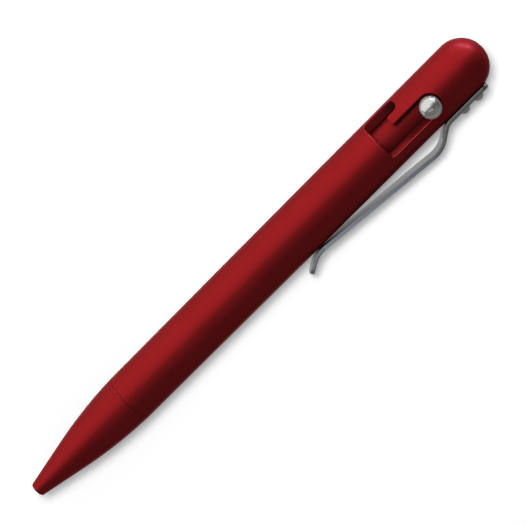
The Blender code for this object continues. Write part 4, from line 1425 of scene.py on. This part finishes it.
def make_world():
    """A white surround that is dimmer where it lights matt surfaces."""
    world = bpy.data.worlds.new("studio")
    bpy.context.scene.world = world
    f = Finish(world)
    strength = f.spread(f.seen() * f.before_matt(), 0.0, 1.0, WORLD_ON_MATT, 1.0)
    f.end(f.node("Background", {}, {"Color": WHITE, "Strength": strength}), "World")


def make_lamp():
    """The soft lamp overhead, which doesn't show in the metal."""
    lamp = bpy.data.lights.new("overhead", "AREA")
    lamp.shape = "SQUARE"
    lamp.size = LAMP_SIZE
    lamp.energy = LAMP_POWER
    made = link("overhead", lamp)
    made.location = LAMP_PLACE
    aim = Vector(LAMP_TARGET) - Vector(LAMP_PLACE)
    made.rotation_euler = aim.to_track_quat("-Z", "Y").to_euler()
    made.visible_glossy = False


def make_light():
    """The world, the lamp and the cards that shape the metal."""
    make_world()
    make_lamp()
    tones = [(angle, *SCREEN_FIRST_LEVELS, *levels) for angle, *levels in SCREEN_TONES]
    surround("screen round the pen", SCREEN_X, tones, SCREEN_RADIUS, SCREEN_LIFT)
    arm_card = "cool card over the clip's arm"
    surround(arm_card, ARM_CARD_X, ARM_CARD_TONES, ARM_CARD_RADIUS, colour=ARM_CARD_COLOUR)
    rows = [[(x, y, z) for x in SHADE_X] for y, z, *_ in SHADE_TONES]
    glow_card("shades low on the floor", rows, [row[2:] for row in SHADE_TONES])
    standing_card(
        "glow low beyond the tail",
        TAIL_GLOW_X,
        TAIL_GLOW_RADIUS,
        TAIL_GLOW_BEARINGS,
        TAIL_GLOW_HEIGHTS,
        TAIL_GLOW_COLOUR,
    )
    standing_card(
        "white card level with the knob",
        KNOB_CARD_X,
        KNOB_CARD_RADIUS,
        KNOB_CARD_BEARINGS,
        KNOB_CARD_HEIGHTS,
    )
    make_strip_light()


def make_camera():
    """The photograph's view: nearly overhead, with the pen from corner to corner."""
    along, across, toward = view_axes()
    right = (along + across).normalized()
    upward = (along - across).normalized()
    place = PEN @ Vector((VIEW_X, 0, 0)) + toward * VIEW_DISTANCE - across * VIEW_OFFSET
    lens = bpy.data.cameras.new("camera")
    lens.sensor_width = SENSOR_WIDTH
    lens.lens = FOCAL_PIXELS / IMAGE_PIXELS * SENSOR_WIDTH
    lens.clip_start = NEAR_CLIP
    camera = link("camera", lens)
    turn = Matrix((right, upward, toward)).transposed().to_4x4()
    camera.matrix_world = Matrix.Translation(place) @ turn
    bpy.context.scene.camera = camera


def main():
    """Makes every piece, the floor, the light and the camera."""
    bpy.context.scene.view_settings.view_transform = "Standard"
    red = red_anodised("red anodised aluminium", SKIN_DULLNESS)
    turned_bright = turned_steel()
    make_camera()
    make_light()
    make_floor()
    make_barrel(red)
    make_nose_cone(red)
    make_bolt(red_anodised("dull red anodised aluminium", BOLT_DULLNESS))
    make_bolt_knob(turned_bright)
    make_pocket_clip(satin_steel())
    make_clip_screw("clip_screw_front", FRONT_SCREW_X, turned_bright)
    make_clip_screw("clip_screw_rear", REAR_SCREW_X, turned_bright)
    make_refill_tube(drawn_steel())
    make_refill_tip(nickel_plate())
    make_refill_ball(ground_carbide())
    make_refill_end_cap(black_nylon())
    make_return_spring(spring_wire())


main()
